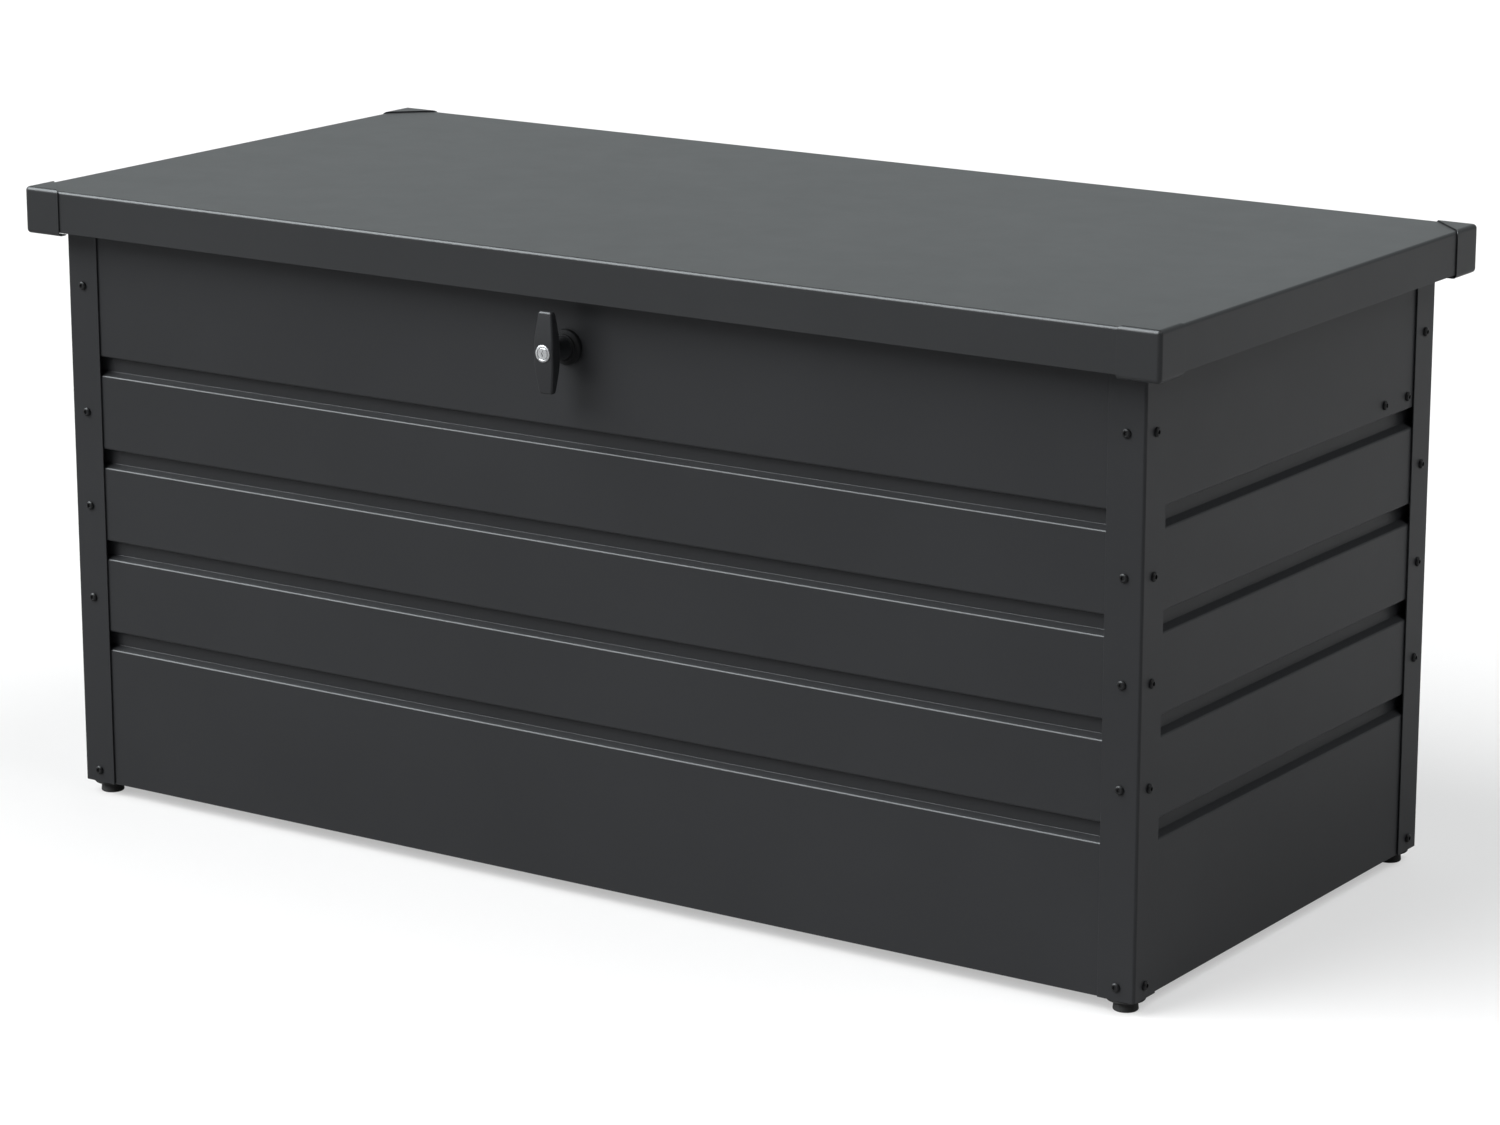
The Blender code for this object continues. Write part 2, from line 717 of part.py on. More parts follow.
def strut(side, sign):
    """A gas strut from the end wall to the lid, lying along its own frame's Z."""
    forward = STRUT_FOOT_Y - STRUT_HEAD_Y
    rise = STRUT_HEAD_Z - STRUT_FOOT_Z
    length = Vector((0, forward, rise)).length
    lean = atan2(forward, rise)
    x = sign * STRUT_X
    frame = make_frame(f"strut_{side}_frame", BODY, (x, STRUT_FOOT_Y, STRUT_FOOT_Z), lean)
    along_x = (0, QUARTER, 0)

    # Body bracket: a hat of sheet on the wall with a ball stud on its crown
    name = f"strut_{side}_body_bracket"
    half, crown = BRACKET_LENGTH / 2, BRACKET_CROWN / 2
    path = bent(
        [
            (0.0, -half),
            (0.0, -crown - BRACKET_SLOPE),
            (-BRACKET_RISE, -crown),
            (-BRACKET_RISE, crown),
            (0.0, crown + BRACKET_SLOPE),
            (0.0, half),
        ],
        BRACKET_SHEET,
    )
    bracket = folded_sheet(
        name, path, BRACKET_HEIGHT, BRACKET_SHEET, ZINC, BODY,
        (sign * RAIL_X, STRUT_FOOT_Y, STRUT_FOOT_Z), stood_up(0.0 if sign > 0 else 2 * QUARTER),
    )
    root = STRUT_X - RAIL_X + BRACKET_RISE + BRACKET_SHEET / 2
    ball_stud = turned(
        name + "_ball_stud", ball_stud_profile(root), ZINC, BODY,
        (x, STRUT_FOOT_Y, STRUT_FOOT_Z), (0, -sign * QUARTER, 0),
    )
    combine(bracket, "UNION", ball_stud)

    cylinder = [
        (0.0, CYLINDER_START + CYLINDER_WALL),
        (CYLINDER_BORE, CYLINDER_START + CYLINDER_WALL),
        (CYLINDER_BORE, CYLINDER_END - GUIDE_LENGTH),
        (ROD_RADIUS + GAP, CYLINDER_END - GUIDE_LENGTH),
        (ROD_RADIUS + GAP, CYLINDER_END),
        (CYLINDER_RADIUS, CYLINDER_END),
        (CYLINDER_RADIUS, CYLINDER_START),
        (0.0, CYLINDER_START),
    ]
    turned(f"strut_{side}_cylinder", cylinder, BLACK_STEEL, frame)
    piston = [
        (0.0, ROD_END),
        (ROD_RADIUS, ROD_END),
        (ROD_RADIUS, PISTON_START + PISTON_LENGTH),
        (PISTON_RADIUS, PISTON_START + PISTON_LENGTH),
        (PISTON_RADIUS, PISTON_START),
        (0.0, PISTON_START),
    ]
    turned(f"strut_{side}_rod", piston, BRIGHT, frame)

    # Lower socket: a neck towards the cylinder, and a hole for the ball on its wall side
    name = f"strut_{side}_lower_socket"
    socket = rod(
        name, SOCKET_RADIUS, SOCKET_WIDTH, PLASTIC, frame, (0, 0, 0), along_x
    )
    neck = rod(
        name + "_neck", SOCKET_NECK, CYLINDER_START - GAP, PLASTIC, frame,
        (0, 0, (CYLINDER_START - GAP) / 2),
    )
    depth = BALL_RADIUS + GAP + SOCKET_WIDTH
    hole = rod(
        name + "_hole", BALL_RADIUS + GAP, depth, PLASTIC, frame,
        (sign * (SOCKET_WIDTH - BALL_RADIUS - GAP) / 2, 0, 0), along_x,
    )
    combine(socket, "UNION", neck)
    combine(socket, "DIFFERENCE", hole)

    # Upper socket, with the stud that bolts to the lid's bracket
    name = f"strut_{side}_upper_socket"
    socket = rod(
        name, SOCKET_RADIUS, SOCKET_WIDTH, PLASTIC, frame, (0, 0, length), along_x
    )
    neck = rod(
        name + "_neck", SOCKET_NECK, length - ROD_END - GAP, PLASTIC, frame,
        (0, 0, (length + ROD_END + GAP) / 2),
    )
    stud = rod(
        name + "_stud", STUD_RADIUS, STUD_REACH, PLASTIC, frame,
        (-sign * STUD_REACH / 2, 0, length), along_x,
    )
    combine(socket, "UNION", neck, stud)

    path = bent(
        [
            (LID_BRACKET_FLANGE, LID_UNDERSIDE - GAP - HINGE_Z),
            (0.0, LID_UNDERSIDE - GAP - HINGE_Z),
            (0.0, LID_UNDERSIDE - LID_BRACKET_DROP - HINGE_Z),
        ],
        BRACKET_SHEET,
    )
    folded_sheet(
        f"strut_{side}_lid_bracket", path, LID_BRACKET_LENGTH, BRACKET_SHEET, ZINC, LID,
        (x - sign * (STUD_REACH + GAP), STRUT_HEAD_Y - HINGE_Y, 0), (0, 0, sign * QUARTER),
    )


def arm_outline(reach, hub, tip):
    """A flat arm from a round hub up to a round tip, counter-clockwise."""
    outline = []
    for step in range(TIP_STEPS + 1):
        angle = pi + pi * step / TIP_STEPS
        outline.append((hub * cos(angle), hub * sin(angle)))
    for step in range(TIP_STEPS + 1):
        angle = pi * step / TIP_STEPS
        outline.append((tip * cos(angle), reach - tip + tip * sin(angle)))
    return outline


def lock():
    """T-handle lock; in its frame outwards is -Y, which a turned profile's Z becomes."""
    outward = (QUARTER, 0, 0)
    inward = (-QUARTER, 0, 0)
    bore = SPINDLE_RADIUS + GAP
    rosette = [
        (bore, ROSETTE),
        (ROSETTE_RADIUS - ROSETTE_CHAMFER, ROSETTE),
        (ROSETTE_RADIUS, ROSETTE - ROSETTE_CHAMFER),
        (ROSETTE_RADIUS, GAP),
        (BARREL_RADIUS, GAP),
        (BARREL_RADIUS, -BARREL_LENGTH),
        (bore, -BARREL_LENGTH),
    ]
    turned("lock_rosette", rosette, COAT, LOCK, turn=outward, ring=True)
    nut_y = PANEL_SHEET + GAP + NUT / 2
    nut = rod(
        "lock_nut", NUT_ACROSS_CORNERS / 2, NUT, ZINC, LOCK, (0, nut_y, 0), outward, HEXAGON
    )
    thread = rod(
        "lock_nut_bore", BARREL_RADIUS + GAP, 2 * NUT, ZINC, LOCK, (0, nut_y, 0), outward
    )
    combine(nut, "DIFFERENCE", thread)

    stem_start = ROSETTE + GAP
    grip_back = stem_start + STEM_LENGTH
    half, wide, narrow = GRIP_HEIGHT / 2, GRIP_WIDTH / 2, GRIP_END_WIDTH / 2
    waist = GRIP_WAIST / 2
    outline = [
        (wide, -waist), (wide, waist), (narrow, half), (-narrow, half),
        (-wide, waist), (-wide, -waist), (-narrow, -half), (narrow, -half),
    ]
    grip = flat_piece(
        "t_handle", outline, GRIP, COAT, LOCK, (0, -grip_back - GRIP / 2, 0), outward
    )
    edge = grip.modifiers.new("edges", "BEVEL")
    edge.width = GRIP_EDGE
    edge.segments = EDGE_SEGMENTS
    edge.limit_method = "ANGLE"
    overlap = GRIP / 2
    stem = rod(
        "t_handle_stem", STEM_RADIUS, STEM_LENGTH + overlap, COAT, LOCK,
        (0, -stem_start - (STEM_LENGTH + overlap) / 2, 0), outward,
    )
    lock_bore = rod(
        "t_handle_lock_bore", LOCK_RADIUS + GAP, 2 * LOCK_LENGTH, COAT, LOCK,
        (0, -grip_back - GRIP - GAP, 0), outward,
    )
    spindle_bore = rod(
        "t_handle_spindle_bore", bore, 2 * SPINDLE_IN_STEM, COAT, LOCK,
        (0, -stem_start, 0), outward,
    )
    combine(grip, "UNION", stem)
    combine(grip, "DIFFERENCE", lock_bore, spindle_bore)

    face = grip_back + GRIP + LOCK_PROUD
    housing_back = face - LOCK_LENGTH
    housing = [
        (PLUG_RADIUS + GAP, face),
        (LOCK_RADIUS, face),
        (LOCK_RADIUS, housing_back),
        (PLUG_RADIUS + GAP, housing_back),
    ]
    turned("lock_cylinder", housing, BRIGHT, LOCK, turn=outward, ring=True)
    plug_y = LOCK_LENGTH / 2 - face
    plug = rod(
        "lock_key_plug", PLUG_RADIUS, LOCK_LENGTH, BRIGHT, LOCK, (0, plug_y, 0), outward
    )
    keyway = block(
        "lock_keyway", (KEYWAY_WIDTH, 2 * KEYWAY_DEPTH, KEYWAY_HEIGHT), BRIGHT, LOCK,
        (0, -face, 0),
    )
    combine(plug, "DIFFERENCE", keyway)

    cam_y = CAM_Y + PANEL_Y
    spindle_front = stem_start + SPINDLE_IN_STEM - GAP
    spindle_back = cam_y - CAM_SHEET / 2 - GAP
    spindle_length = spindle_front + spindle_back
    spindle = rod(
        "lock_spindle", SPINDLE_RADIUS, spindle_length, ZINC, LOCK,
        (0, (spindle_back - spindle_front) / 2, 0), outward,
    )
    screw_bore = rod(
        "lock_spindle_bore", CAM_SCREW_RADIUS + GAP, 2 * CAM_SCREW_DEPTH + GAP, ZINC, LOCK,
        (0, spindle_back, 0), outward,
    )
    combine(spindle, "DIFFERENCE", screw_bore)
    cam = flat_piece(
        "lock_cam", arm_outline(CAM_REACH, CAM_BACK, CAM_WIDTH / 2), CAM_SHEET, ZINC, LOCK,
        (0, cam_y, 0), outward,
    )
    eye = rod(
        "lock_cam_eye", CAM_SCREW_RADIUS + GAP, 2 * CAM_SHEET, ZINC, LOCK, (0, cam_y, 0), outward
    )
    combine(cam, "DIFFERENCE", eye)
    tip = -CAM_SHEET - GAP - CAM_SCREW_DEPTH
    screw = [
        (0.0, CAM_SCREW_RADIUS),
        (CAM_SCREW_HEAD, CAM_SCREW_RADIUS),
        (CAM_SCREW_HEAD, 0.0),
        (CAM_SCREW_RADIUS, 0.0),
        (CAM_SCREW_RADIUS, tip),
        (0.0, tip),
    ]
    turned(
        "lock_cam_screw", screw, ZINC, LOCK, (0, cam_y + CAM_SHEET / 2 + GAP, 0), inward
    )


def main():
    """Build the whole box."""
    wall_panels()
    corner_posts()
    rails()
    floor()
    feet()
    lid_panel()
    corner_caps()
    lid_fittings()
    for side, sign in SIDES.items():
        hinge(side, sign)
        strut(side, sign)
    lock()


main()
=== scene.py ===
import json
from math import atan2, cos, pi, radians, sin, sqrt, tan

import bmesh
import bpy
from mathutils import Matrix, Vector

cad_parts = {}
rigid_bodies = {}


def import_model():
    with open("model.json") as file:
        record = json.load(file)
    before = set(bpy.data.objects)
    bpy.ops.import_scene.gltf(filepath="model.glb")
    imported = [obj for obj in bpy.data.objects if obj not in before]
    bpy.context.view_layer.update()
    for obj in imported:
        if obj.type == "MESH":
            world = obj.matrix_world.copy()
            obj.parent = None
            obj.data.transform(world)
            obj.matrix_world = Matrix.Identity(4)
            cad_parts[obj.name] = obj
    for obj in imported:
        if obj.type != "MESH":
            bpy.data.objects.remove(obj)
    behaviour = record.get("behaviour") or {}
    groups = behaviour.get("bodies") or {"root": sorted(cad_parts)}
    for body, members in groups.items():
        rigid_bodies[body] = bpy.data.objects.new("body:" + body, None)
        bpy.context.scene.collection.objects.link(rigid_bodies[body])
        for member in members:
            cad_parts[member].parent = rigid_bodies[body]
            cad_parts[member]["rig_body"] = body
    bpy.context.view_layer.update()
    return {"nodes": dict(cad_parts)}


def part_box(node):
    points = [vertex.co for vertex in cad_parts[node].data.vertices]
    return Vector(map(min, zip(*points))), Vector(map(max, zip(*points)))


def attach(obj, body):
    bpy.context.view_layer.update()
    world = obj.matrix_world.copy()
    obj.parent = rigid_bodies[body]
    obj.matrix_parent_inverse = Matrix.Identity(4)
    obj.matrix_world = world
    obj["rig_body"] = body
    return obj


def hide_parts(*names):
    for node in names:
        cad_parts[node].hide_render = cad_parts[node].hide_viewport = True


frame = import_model()

# Sheet and fold sizes, as in the CAD
PANEL_SHEET = 0.0012
POST_SHEET = 0.0016
POST_BEND = 0.003
RAIL_SHEET = 0.0015
GROOVE_COUNT = 4
GROOVE_PITCH = 0.100
GROOVE_LOWEST = 0.164
GROOVE_HEIGHT = 0.0205
GROOVE_DEPTH = 0.009
GROOVE_LEDGE_RISE = 0.004
GROOVE_LIP_BEND = 0.0022
GROOVE_INNER_BEND = 0.0006
LID_SHEET = 0.0015
LID_BEND = 0.0035
CAP_SHEET = 0.0012
CAP_BEND = 0.0045
CAP_LEG = 0.046
CAP_LIP = 0.012
FOLD_STEPS = 6
EDGE_BREAK = 0.0003
GAP = 0.0003
BODY_CENTRE_Y = 0.00495
LOCK_Z = 0.566

# Screws. The bracket's are (depth from the middle of the body, height), and a hinge's are
# (along, up) from the middle of its leaf's lower edge
SCREW_HEIGHTS = (0.027, 0.220, 0.321, 0.423, 0.559)
SCREW_INSET = 0.020
SCREW_RADIUS = 0.00475
SCREW_HEAD = 0.0027
BRACKET_SCREWS = ((0.193, 0.498), (0.243, 0.498))
HINGE_SCREWS = ((-0.028, 0.012), (0.0, 0.022), (0.028, 0.012))
HINGE_SCREW_RADIUS = 0.0042
HINGE_SCREW_HEAD = 0.0017
KEEPER_SCREW_INSET = 0.012

# Sheet of the hinges, strut brackets and keeper
FLANGE_SHEET = 0.002

# Shares of a bracket's width or length at which its screws sit
LID_BRACKET_SCREWS = (0.22, 0.78)
KEEPER_SCREWS = (0.25, 0.75)

# Lock: the handle's grip is straight in the middle, then tapers and leans back
GRIP = 0.0135
GRIP_EDGE = 0.0024
GRIP_END_WIDTH = 0.016
TAPER_START = 0.012
TAPER_POWER = 1.25
LEAN_START = 0.010
LEAN_POWER = 1.2
FRONT_LEAN = 0.0032
BACK_LEAN = 0.0030
LOCK_SEAT = 0.0115
BARREL_HOLE = 0.0108
BARREL_RADIUS = 0.0105
BARREL_LENGTH = 0.020
SPINDLE_HOLE = 0.0063
KEYWAY_DEPTH = 0.0007
CUT_REACH = 0.03

# Gas struts, by their ball centres: (depth from the middle of the body, height)
STRUT_X = 0.612
STRUT_FOOT = (0.218, 0.500)
STRUT_HEAD = (-0.072, 0.636)

# Studio
WHITE = (1.0, 1.0, 1.0)
COOL_WHITE = (0.90, 0.97, 1.0)
DIM_SKY = (0.065, 0.065, 0.068)
BRIGHT_SKY = (0.74, 0.80, 0.805)
BACKGROUND = (0.80, 0.80, 0.80)
FLOOR_TONE = (0.48, 0.48, 0.48)
FLOOR_SIZE = 60.0
FLOOR_GLOW_SEEN = 0.45
FLOOR_GLOW_MIRRORED = 0.15
CAMERA_PLACE = (2.6956, -3.9671, 1.5106)
CAMERA_AIM = (-0.54158, 0.80346, -0.24727)
CAMERA_LENS = 113.77
CAMERA_SENSOR = 36.0
CAMERA_REACH = 200.0

SIDES = {"left": -1, "right": 1}
ENDS = {"front": -1, "back": 1}

# Edges under this angle are shaded smooth
SHARP = radians(32)

# Sides of turned shapes
ROUND = 48
FINE_ROUND = 72

# Between rounded and true normals: the cosines where the edge mask starts and is full; on the coats
# it marks edge wear and a painted highlight along the folds
WEAR_AND_SHEEN_START = 0.985
WEAR_AND_SHEEN_FULL = 0.80


# ---------------------------------------------------------------- materials

def new_material(name):
    """An empty node material and its Principled shader."""
    made = bpy.data.materials.new(name)
    made.use_nodes = True
    return made, made.node_tree, made.node_tree.nodes["Principled BSDF"]


def noise(tree, place, scale, detail=2.0, rough=0.5, stretch=None):
    """A noise texture's factor, in the piece's own metres."""
    if stretch:
        spread = tree.nodes.new("ShaderNodeMapping")
        spread.inputs["Scale"].default_value = stretch
        tree.links.new(place, spread.inputs["Vector"])
        place = spread.outputs["Vector"]
    node = tree.nodes.new("ShaderNodeTexNoise")
    node.inputs["Scale"].default_value = scale
    node.inputs["Detail"].default_value = detail
    node.inputs["Roughness"].default_value = rough
    tree.links.new(place, node.inputs["Vector"])
    return node.outputs["Fac"]


def remap(tree, value, low, high, to_low, to_high):
    """A value moved from one range to another, and held inside it."""
    node = tree.nodes.new("ShaderNodeMapRange")
    node.inputs["From Min"].default_value = low
    node.inputs["From Max"].default_value = high
    node.inputs["To Min"].default_value = to_low
    node.inputs["To Max"].default_value = to_high
    tree.links.new(value, node.inputs["Value"])
    return node.outputs["Result"]


def math_node(tree, operation, first, second):
    """One math step; either input is a socket or a number."""
    node = tree.nodes.new("ShaderNodeMath")
    node.operation = operation
    for socket, value in zip(node.inputs, (first, second)):
        if isinstance(value, (int, float)):
            socket.default_value = value
        else:
            tree.links.new(value, socket)
    return node.outputs["Value"]


def mix_colour(tree, share, first, second):
    """A colour between two; each is a socket or three numbers."""
    node = tree.nodes.new("ShaderNodeMix")
    node.data_type = "RGBA"
    sockets = [item for item in node.inputs if item.type == "RGBA"]
    tree.links.new(share, node.inputs["Factor"])
    for socket, value in zip(sockets, (first, second)):
        if isinstance(value, tuple):
            socket.default_value = (*value, 1.0)
        else:
            tree.links.new(value, socket)
    return next(item for item in node.outputs if item.type == "RGBA")


def edge_mask(tree, radius):
    """1 along edges, where the rounded normal turns from the face's own, and 0 on open faces."""
    bevel = tree.nodes.new("ShaderNodeBevel")
    bevel.samples = 4
    bevel.inputs["Radius"].default_value = radius
    geometry = tree.nodes.new("ShaderNodeNewGeometry")
    dot = tree.nodes.new("ShaderNodeVectorMath")
    dot.operation = "DOT_PRODUCT"
    tree.links.new(bevel.outputs["Normal"], dot.inputs[0])
    tree.links.new(geometry.outputs["Normal"], dot.inputs[1])
    return remap(tree, dot.outputs["Value"], WEAR_AND_SHEEN_START, WEAR_AND_SHEEN_FULL, 0.0, 1.0)


def finish_surface(tree, shader, colour, roughness, height, strength, distance):
    """Link a material's colour, roughness and bump."""
    bump = tree.nodes.new("ShaderNodeBump")
    bump.inputs["Strength"].default_value = strength
    bump.inputs["Distance"].default_value = distance
    tree.links.new(height, bump.inputs["Height"])
    tree.links.new(bump.outputs["Normal"], shader.inputs["Normal"])
    tree.links.new(colour, shader.inputs["Base Color"])
    tree.links.new(roughness, shader.inputs["Roughness"])


def object_place(tree):
    """Each point's place in its piece's own metres."""
    return tree.nodes.new("ShaderNodeTexCoord").outputs["Object"]


def powder_coat(name, dark, light, worn_and_highlight, roughness, specular):
    """Fine-grained powder coat with orange peel, faint handling marks, and edges painted lighter:
    partly rubbed wear, partly a painted highlight along the folds and groove lips.
    """
    made, tree, shader = new_material(name)
    place = object_place(tree)
    cloud = noise(tree, place, 4.0, 3.0)
    grain = noise(tree, place, 1500.0, 3.0, 0.65)
    peel = noise(tree, place, 420.0, 2.0)
    rubs = noise(tree, place, 22.0, 4.0, 0.6)
    edge = edge_mask(tree, 0.0009)
    tone = math_node(tree, "ADD", math_node(tree, "MULTIPLY", cloud, 0.5),
                     math_node(tree, "MULTIPLY", grain, 0.5))
    colour = mix_colour(tree, remap(tree, tone, 0.35, 0.65, 0.0, 1.0), dark, light)
    # Edges mixed towards a lighter colour: partly rubbed wear, partly a painted highlight on folds
    # and groove lips
    rubbed_and_highlit = math_node(tree, "MULTIPLY", edge, remap(tree, rubs, 0.35, 0.75, 0.15, 0.6))
    colour = mix_colour(tree, rubbed_and_highlit, colour, worn_and_highlight)
    level = remap(tree, rubs, 0.3, 0.7, roughness - 0.008, roughness + 0.012)
    level = math_node(tree, "ADD", level, math_node(tree, "MULTIPLY", grain, 0.04))
    level = math_node(tree, "SUBTRACT", level, math_node(tree, "MULTIPLY", rubbed_and_highlit, 0.15))
    height = math_node(tree, "ADD", math_node(tree, "MULTIPLY", peel, 0.7),
                       math_node(tree, "MULTIPLY", grain, 0.3))
    finish_surface(tree, shader, colour, level, height, 0.18, 0.0003)
    shader.inputs["Specular IOR Level"].default_value = specular
    return made


def plated_metal(name, dark, light, roughness, streak_scale, stretch=None):
    """Bright metal with fine streaks and slight clouding."""
    made, tree, shader = new_material(name)
    place = object_place(tree)
    cloud = noise(tree, place, 60.0, 3.0)
    streaks = noise(tree, place, streak_scale, 3.0, 0.6, stretch)
    edge = edge_mask(tree, 0.0006)
    tone = math_node(tree, "ADD", math_node(tree, "MULTIPLY", cloud, 0.6),
                     math_node(tree, "MULTIPLY", streaks, 0.4))
    colour = mix_colour(tree, remap(tree, tone, 0.3, 0.7, 0.0, 1.0), dark, light)
    level = remap(tree, tone, 0.3, 0.7, roughness - 0.06, roughness + 0.08)
    level = math_node(tree, "SUBTRACT", level, math_node(tree, "MULTIPLY", edge, 0.08))
    finish_surface(tree, shader, colour, level, streaks, 0.12, 0.0001)
    shader.inputs["Metallic"].default_value = 1.0
    return made


def moulded(name, dark, light, roughness, grain_scale, strength, specular):
    """Rubber, plastic or enamel: a dull ground with a fine grain and lighter edges."""
    made, tree, shader = new_material(name)
    place = object_place(tree)
    cloud = noise(tree, place, 45.0, 3.0)
    grain = noise(tree, place, grain_scale, 3.0, 0.6)
    edge = edge_mask(tree, 0.0008)
    tone = math_node(tree, "ADD", cloud, math_node(tree, "MULTIPLY", edge, 0.35))
    colour = mix_colour(tree, remap(tree, tone, 0.3, 0.9, 0.0, 1.0), dark, light)
    level = remap(tree, cloud, 0.3, 0.7, roughness - 0.05, roughness + 0.05)
    finish_surface(tree, shader, colour, level, grain, strength, 0.0003)
    shader.inputs["Specular IOR Level"].default_value = specular
    return made


# Each coat's lighter edge colour is partly wear and partly a painted highlight along its folds
COAT = powder_coat(
    "anthracite_powder_coat", dark=(0.0185, 0.0192, 0.0209), light=(0.0228, 0.0236, 0.0256),
    worn_and_highlight=(0.085, 0.087, 0.092), roughness=0.38, specular=0.16,
)
LID_COAT = powder_coat(
    "lid_powder_coat", dark=(0.0220, 0.0230, 0.0245), light=(0.0265, 0.0276, 0.0293),
    worn_and_highlight=(0.085, 0.088, 0.092), roughness=0.36, specular=0.16,
)
SCREW_COAT = powder_coat(
    "anthracite_screw_coat", dark=(0.0075, 0.0077, 0.0082), light=(0.0120, 0.0123, 0.0130),
    worn_and_highlight=(0.05, 0.05, 0.052), roughness=0.40, specular=0.14,
)
MATT_COAT = powder_coat(
    "matt_lock_coat", dark=(0.0100, 0.0102, 0.0108), light=(0.0150, 0.0153, 0.0160),
    worn_and_highlight=(0.045, 0.045, 0.047), roughness=0.62, specular=0.05,
)
ZINC = plated_metal(
    "zinc_plated_steel", dark=(0.42, 0.43, 0.45), light=(0.62, 0.63, 0.64),
    roughness=0.36, streak_scale=900.0,
)
NICKEL = plated_metal(
    "satin_nickel", dark=(0.24, 0.24, 0.245), light=(0.46, 0.46, 0.465),
    roughness=0.42, streak_scale=1400.0,
)
CHROME = plated_metal(
    "ground_strut_rod", dark=(0.58, 0.58, 0.59), light=(0.76, 0.76, 0.77),
    roughness=0.16, streak_scale=500.0, stretch=(8.0, 1.0, 1.0),
)
ENAMEL = moulded(
    "black_enamel", dark=(0.010, 0.010, 0.011), light=(0.022, 0.022, 0.024),
    roughness=0.34, grain_scale=500.0, strength=0.08, specular=0.28,
)
RUBBER = moulded(
    "black_rubber", dark=(0.008, 0.008, 0.008), light=(0.022, 0.022, 0.021),
    roughness=0.78, grain_scale=1600.0, strength=0.35, specular=0.35,
)
PLASTIC = moulded(
    "black_plastic", dark=(0.012, 0.012, 0.013), light=(0.026, 0.026, 0.027),
    roughness=0.48, grain_scale=1300.0, strength=0.25, specular=0.45,
)

# The finish of each material slot in the record
FINISHES = {
    "anthracite_powder_coat": COAT,
    "lid_powder_coat": LID_COAT,
    "zinc_plated_steel": ZINC,
    "satin_nickel": NICKEL,
    "black_enamel": ENAMEL,
    "black_rubber": RUBBER,
    "black_plastic": PLASTIC,
}


# ---------------------------------------------------------------- mesh tools

def soften(work, limit=SHARP):
    """Smooth shading, with edges sharper than the limit kept crisp."""
    for face in work.faces:
        face.smooth = True
    for edge in work.edges:
        edge.smooth = len(edge.link_faces) != 2 or edge.calc_face_angle() < limit


def placed(name, work):
    """A working mesh as an object in the scene."""
    mesh = bpy.data.meshes.new(name)
    work.to_mesh(mesh)
    work.free()
    item = bpy.data.objects.new(name, mesh)
    bpy.context.scene.collection.objects.link(item)
    return item


def discard(item):
    """Remove an object and its mesh."""
    mesh = item.data
    bpy.data.objects.remove(item)
    bpy.data.meshes.remove(mesh)


def make_piece(name, work, body, slot, replaced=(), finish=None, limit=SHARP):
    """Turn a working mesh into a piece that rides on a CAD body."""
    bmesh.ops.recalc_face_normals(work, faces=work.faces)
    soften(work, limit)
    piece = placed(name, work)
    piece.data.materials.append(finish or FINISHES[slot])
    shading = piece.modifiers.new("normals", "WEIGHTED_NORMAL")
    shading.keep_sharp = True
    shading.weight = 100
    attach(piece, body)
    if replaced:
        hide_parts(*replaced)


def with_modifiers(work, add):
    """The working mesh after the modifiers that add() puts on it."""
    holder = placed("work", work)
    add(holder)
    depsgraph = bpy.context.evaluated_depsgraph_get()
    done = bpy.data.meshes.new_from_object(holder.evaluated_get(depsgraph))
    discard(holder)
    result = bmesh.new()
    result.from_mesh(done)
    bpy.data.meshes.remove(done)
    return result


def add_bevel(holder, width, angle=50):
    """Break every edge sharper than an angle in degrees."""
    step = holder.modifiers.new("edges", "BEVEL")
    step.width = width
    step.segments = 2
    step.limit_method = "ANGLE"
    step.angle_limit = radians(angle)


def cut(work, tool, merged=False, then=None):
    """The working mesh less a tool; then() may add modifiers that follow the cut.

    Merged is for a working mesh of bodies that cross, and makes them one.
    """
    bmesh.ops.recalc_face_normals(tool, faces=tool.faces)
    bmesh.ops.recalc_face_normals(work, faces=work.faces)
    cutter = placed("cutter", tool)

    def add(holder):
        step = holder.modifiers.new("cut", "BOOLEAN")
        step.object = cutter
        step.solver = "EXACT"
        step.use_self = merged
        if then:
            then(holder)

    result = with_modifiers(work, add)
    discard(cutter)
    return result


def thickened(work, sheet, edge):
    """A surface given a sheet's thickness inwards, with its edges broken."""

    def add(holder):
        step = holder.modifiers.new("sheet", "SOLIDIFY")
        step.thickness = sheet
        step.offset = -1.0
        step.use_even_offset = True
        add_bevel(holder, edge)

    return with_modifiers(work, add)


def cube_between(low, high):
    """A working mesh of the box between two corners."""
    work = bmesh.new()
    bmesh.ops.create_cube(work, size=1.0)
    bmesh.ops.scale(work, verts=work.verts, vec=high - low)
    bmesh.ops.translate(work, verts=work.verts, vec=(low + high) / 2)
    return work


def round_folds(work, bend):
    """Round every edge between two faces."""
    folds = [edge for edge in work.edges if len(edge.link_faces) == 2]
    bmesh.ops.bevel(work, geom=folds, offset=bend, segments=8, profile=0.5, affect="EDGES")


def circle(place, radius, level, steps):
    """A ring of points at a level of a frame's Z."""
    angles = [2 * pi * i / steps for i in range(steps)]
    return [place @ Vector((radius * cos(angle), radius * sin(angle), level)) for angle in angles]


def loft(work, rings, closed=False):
    """Skin a list of equal rings; the ends are capped unless the rings close on themselves."""
    made = [[work.verts.new(point) for point in ring] for ring in rings]
    pairs = list(zip(made, made[1:]))
    if closed:
        pairs.append((made[-1], made[0]))
    for low, high in pairs:
        for index, point in enumerate(low):
            before = index - 1
            work.faces.new((low[before], point, high[index], high[before]))
    if not closed:
        work.faces.new(made[0])
        work.faces.new(reversed(made[-1]))


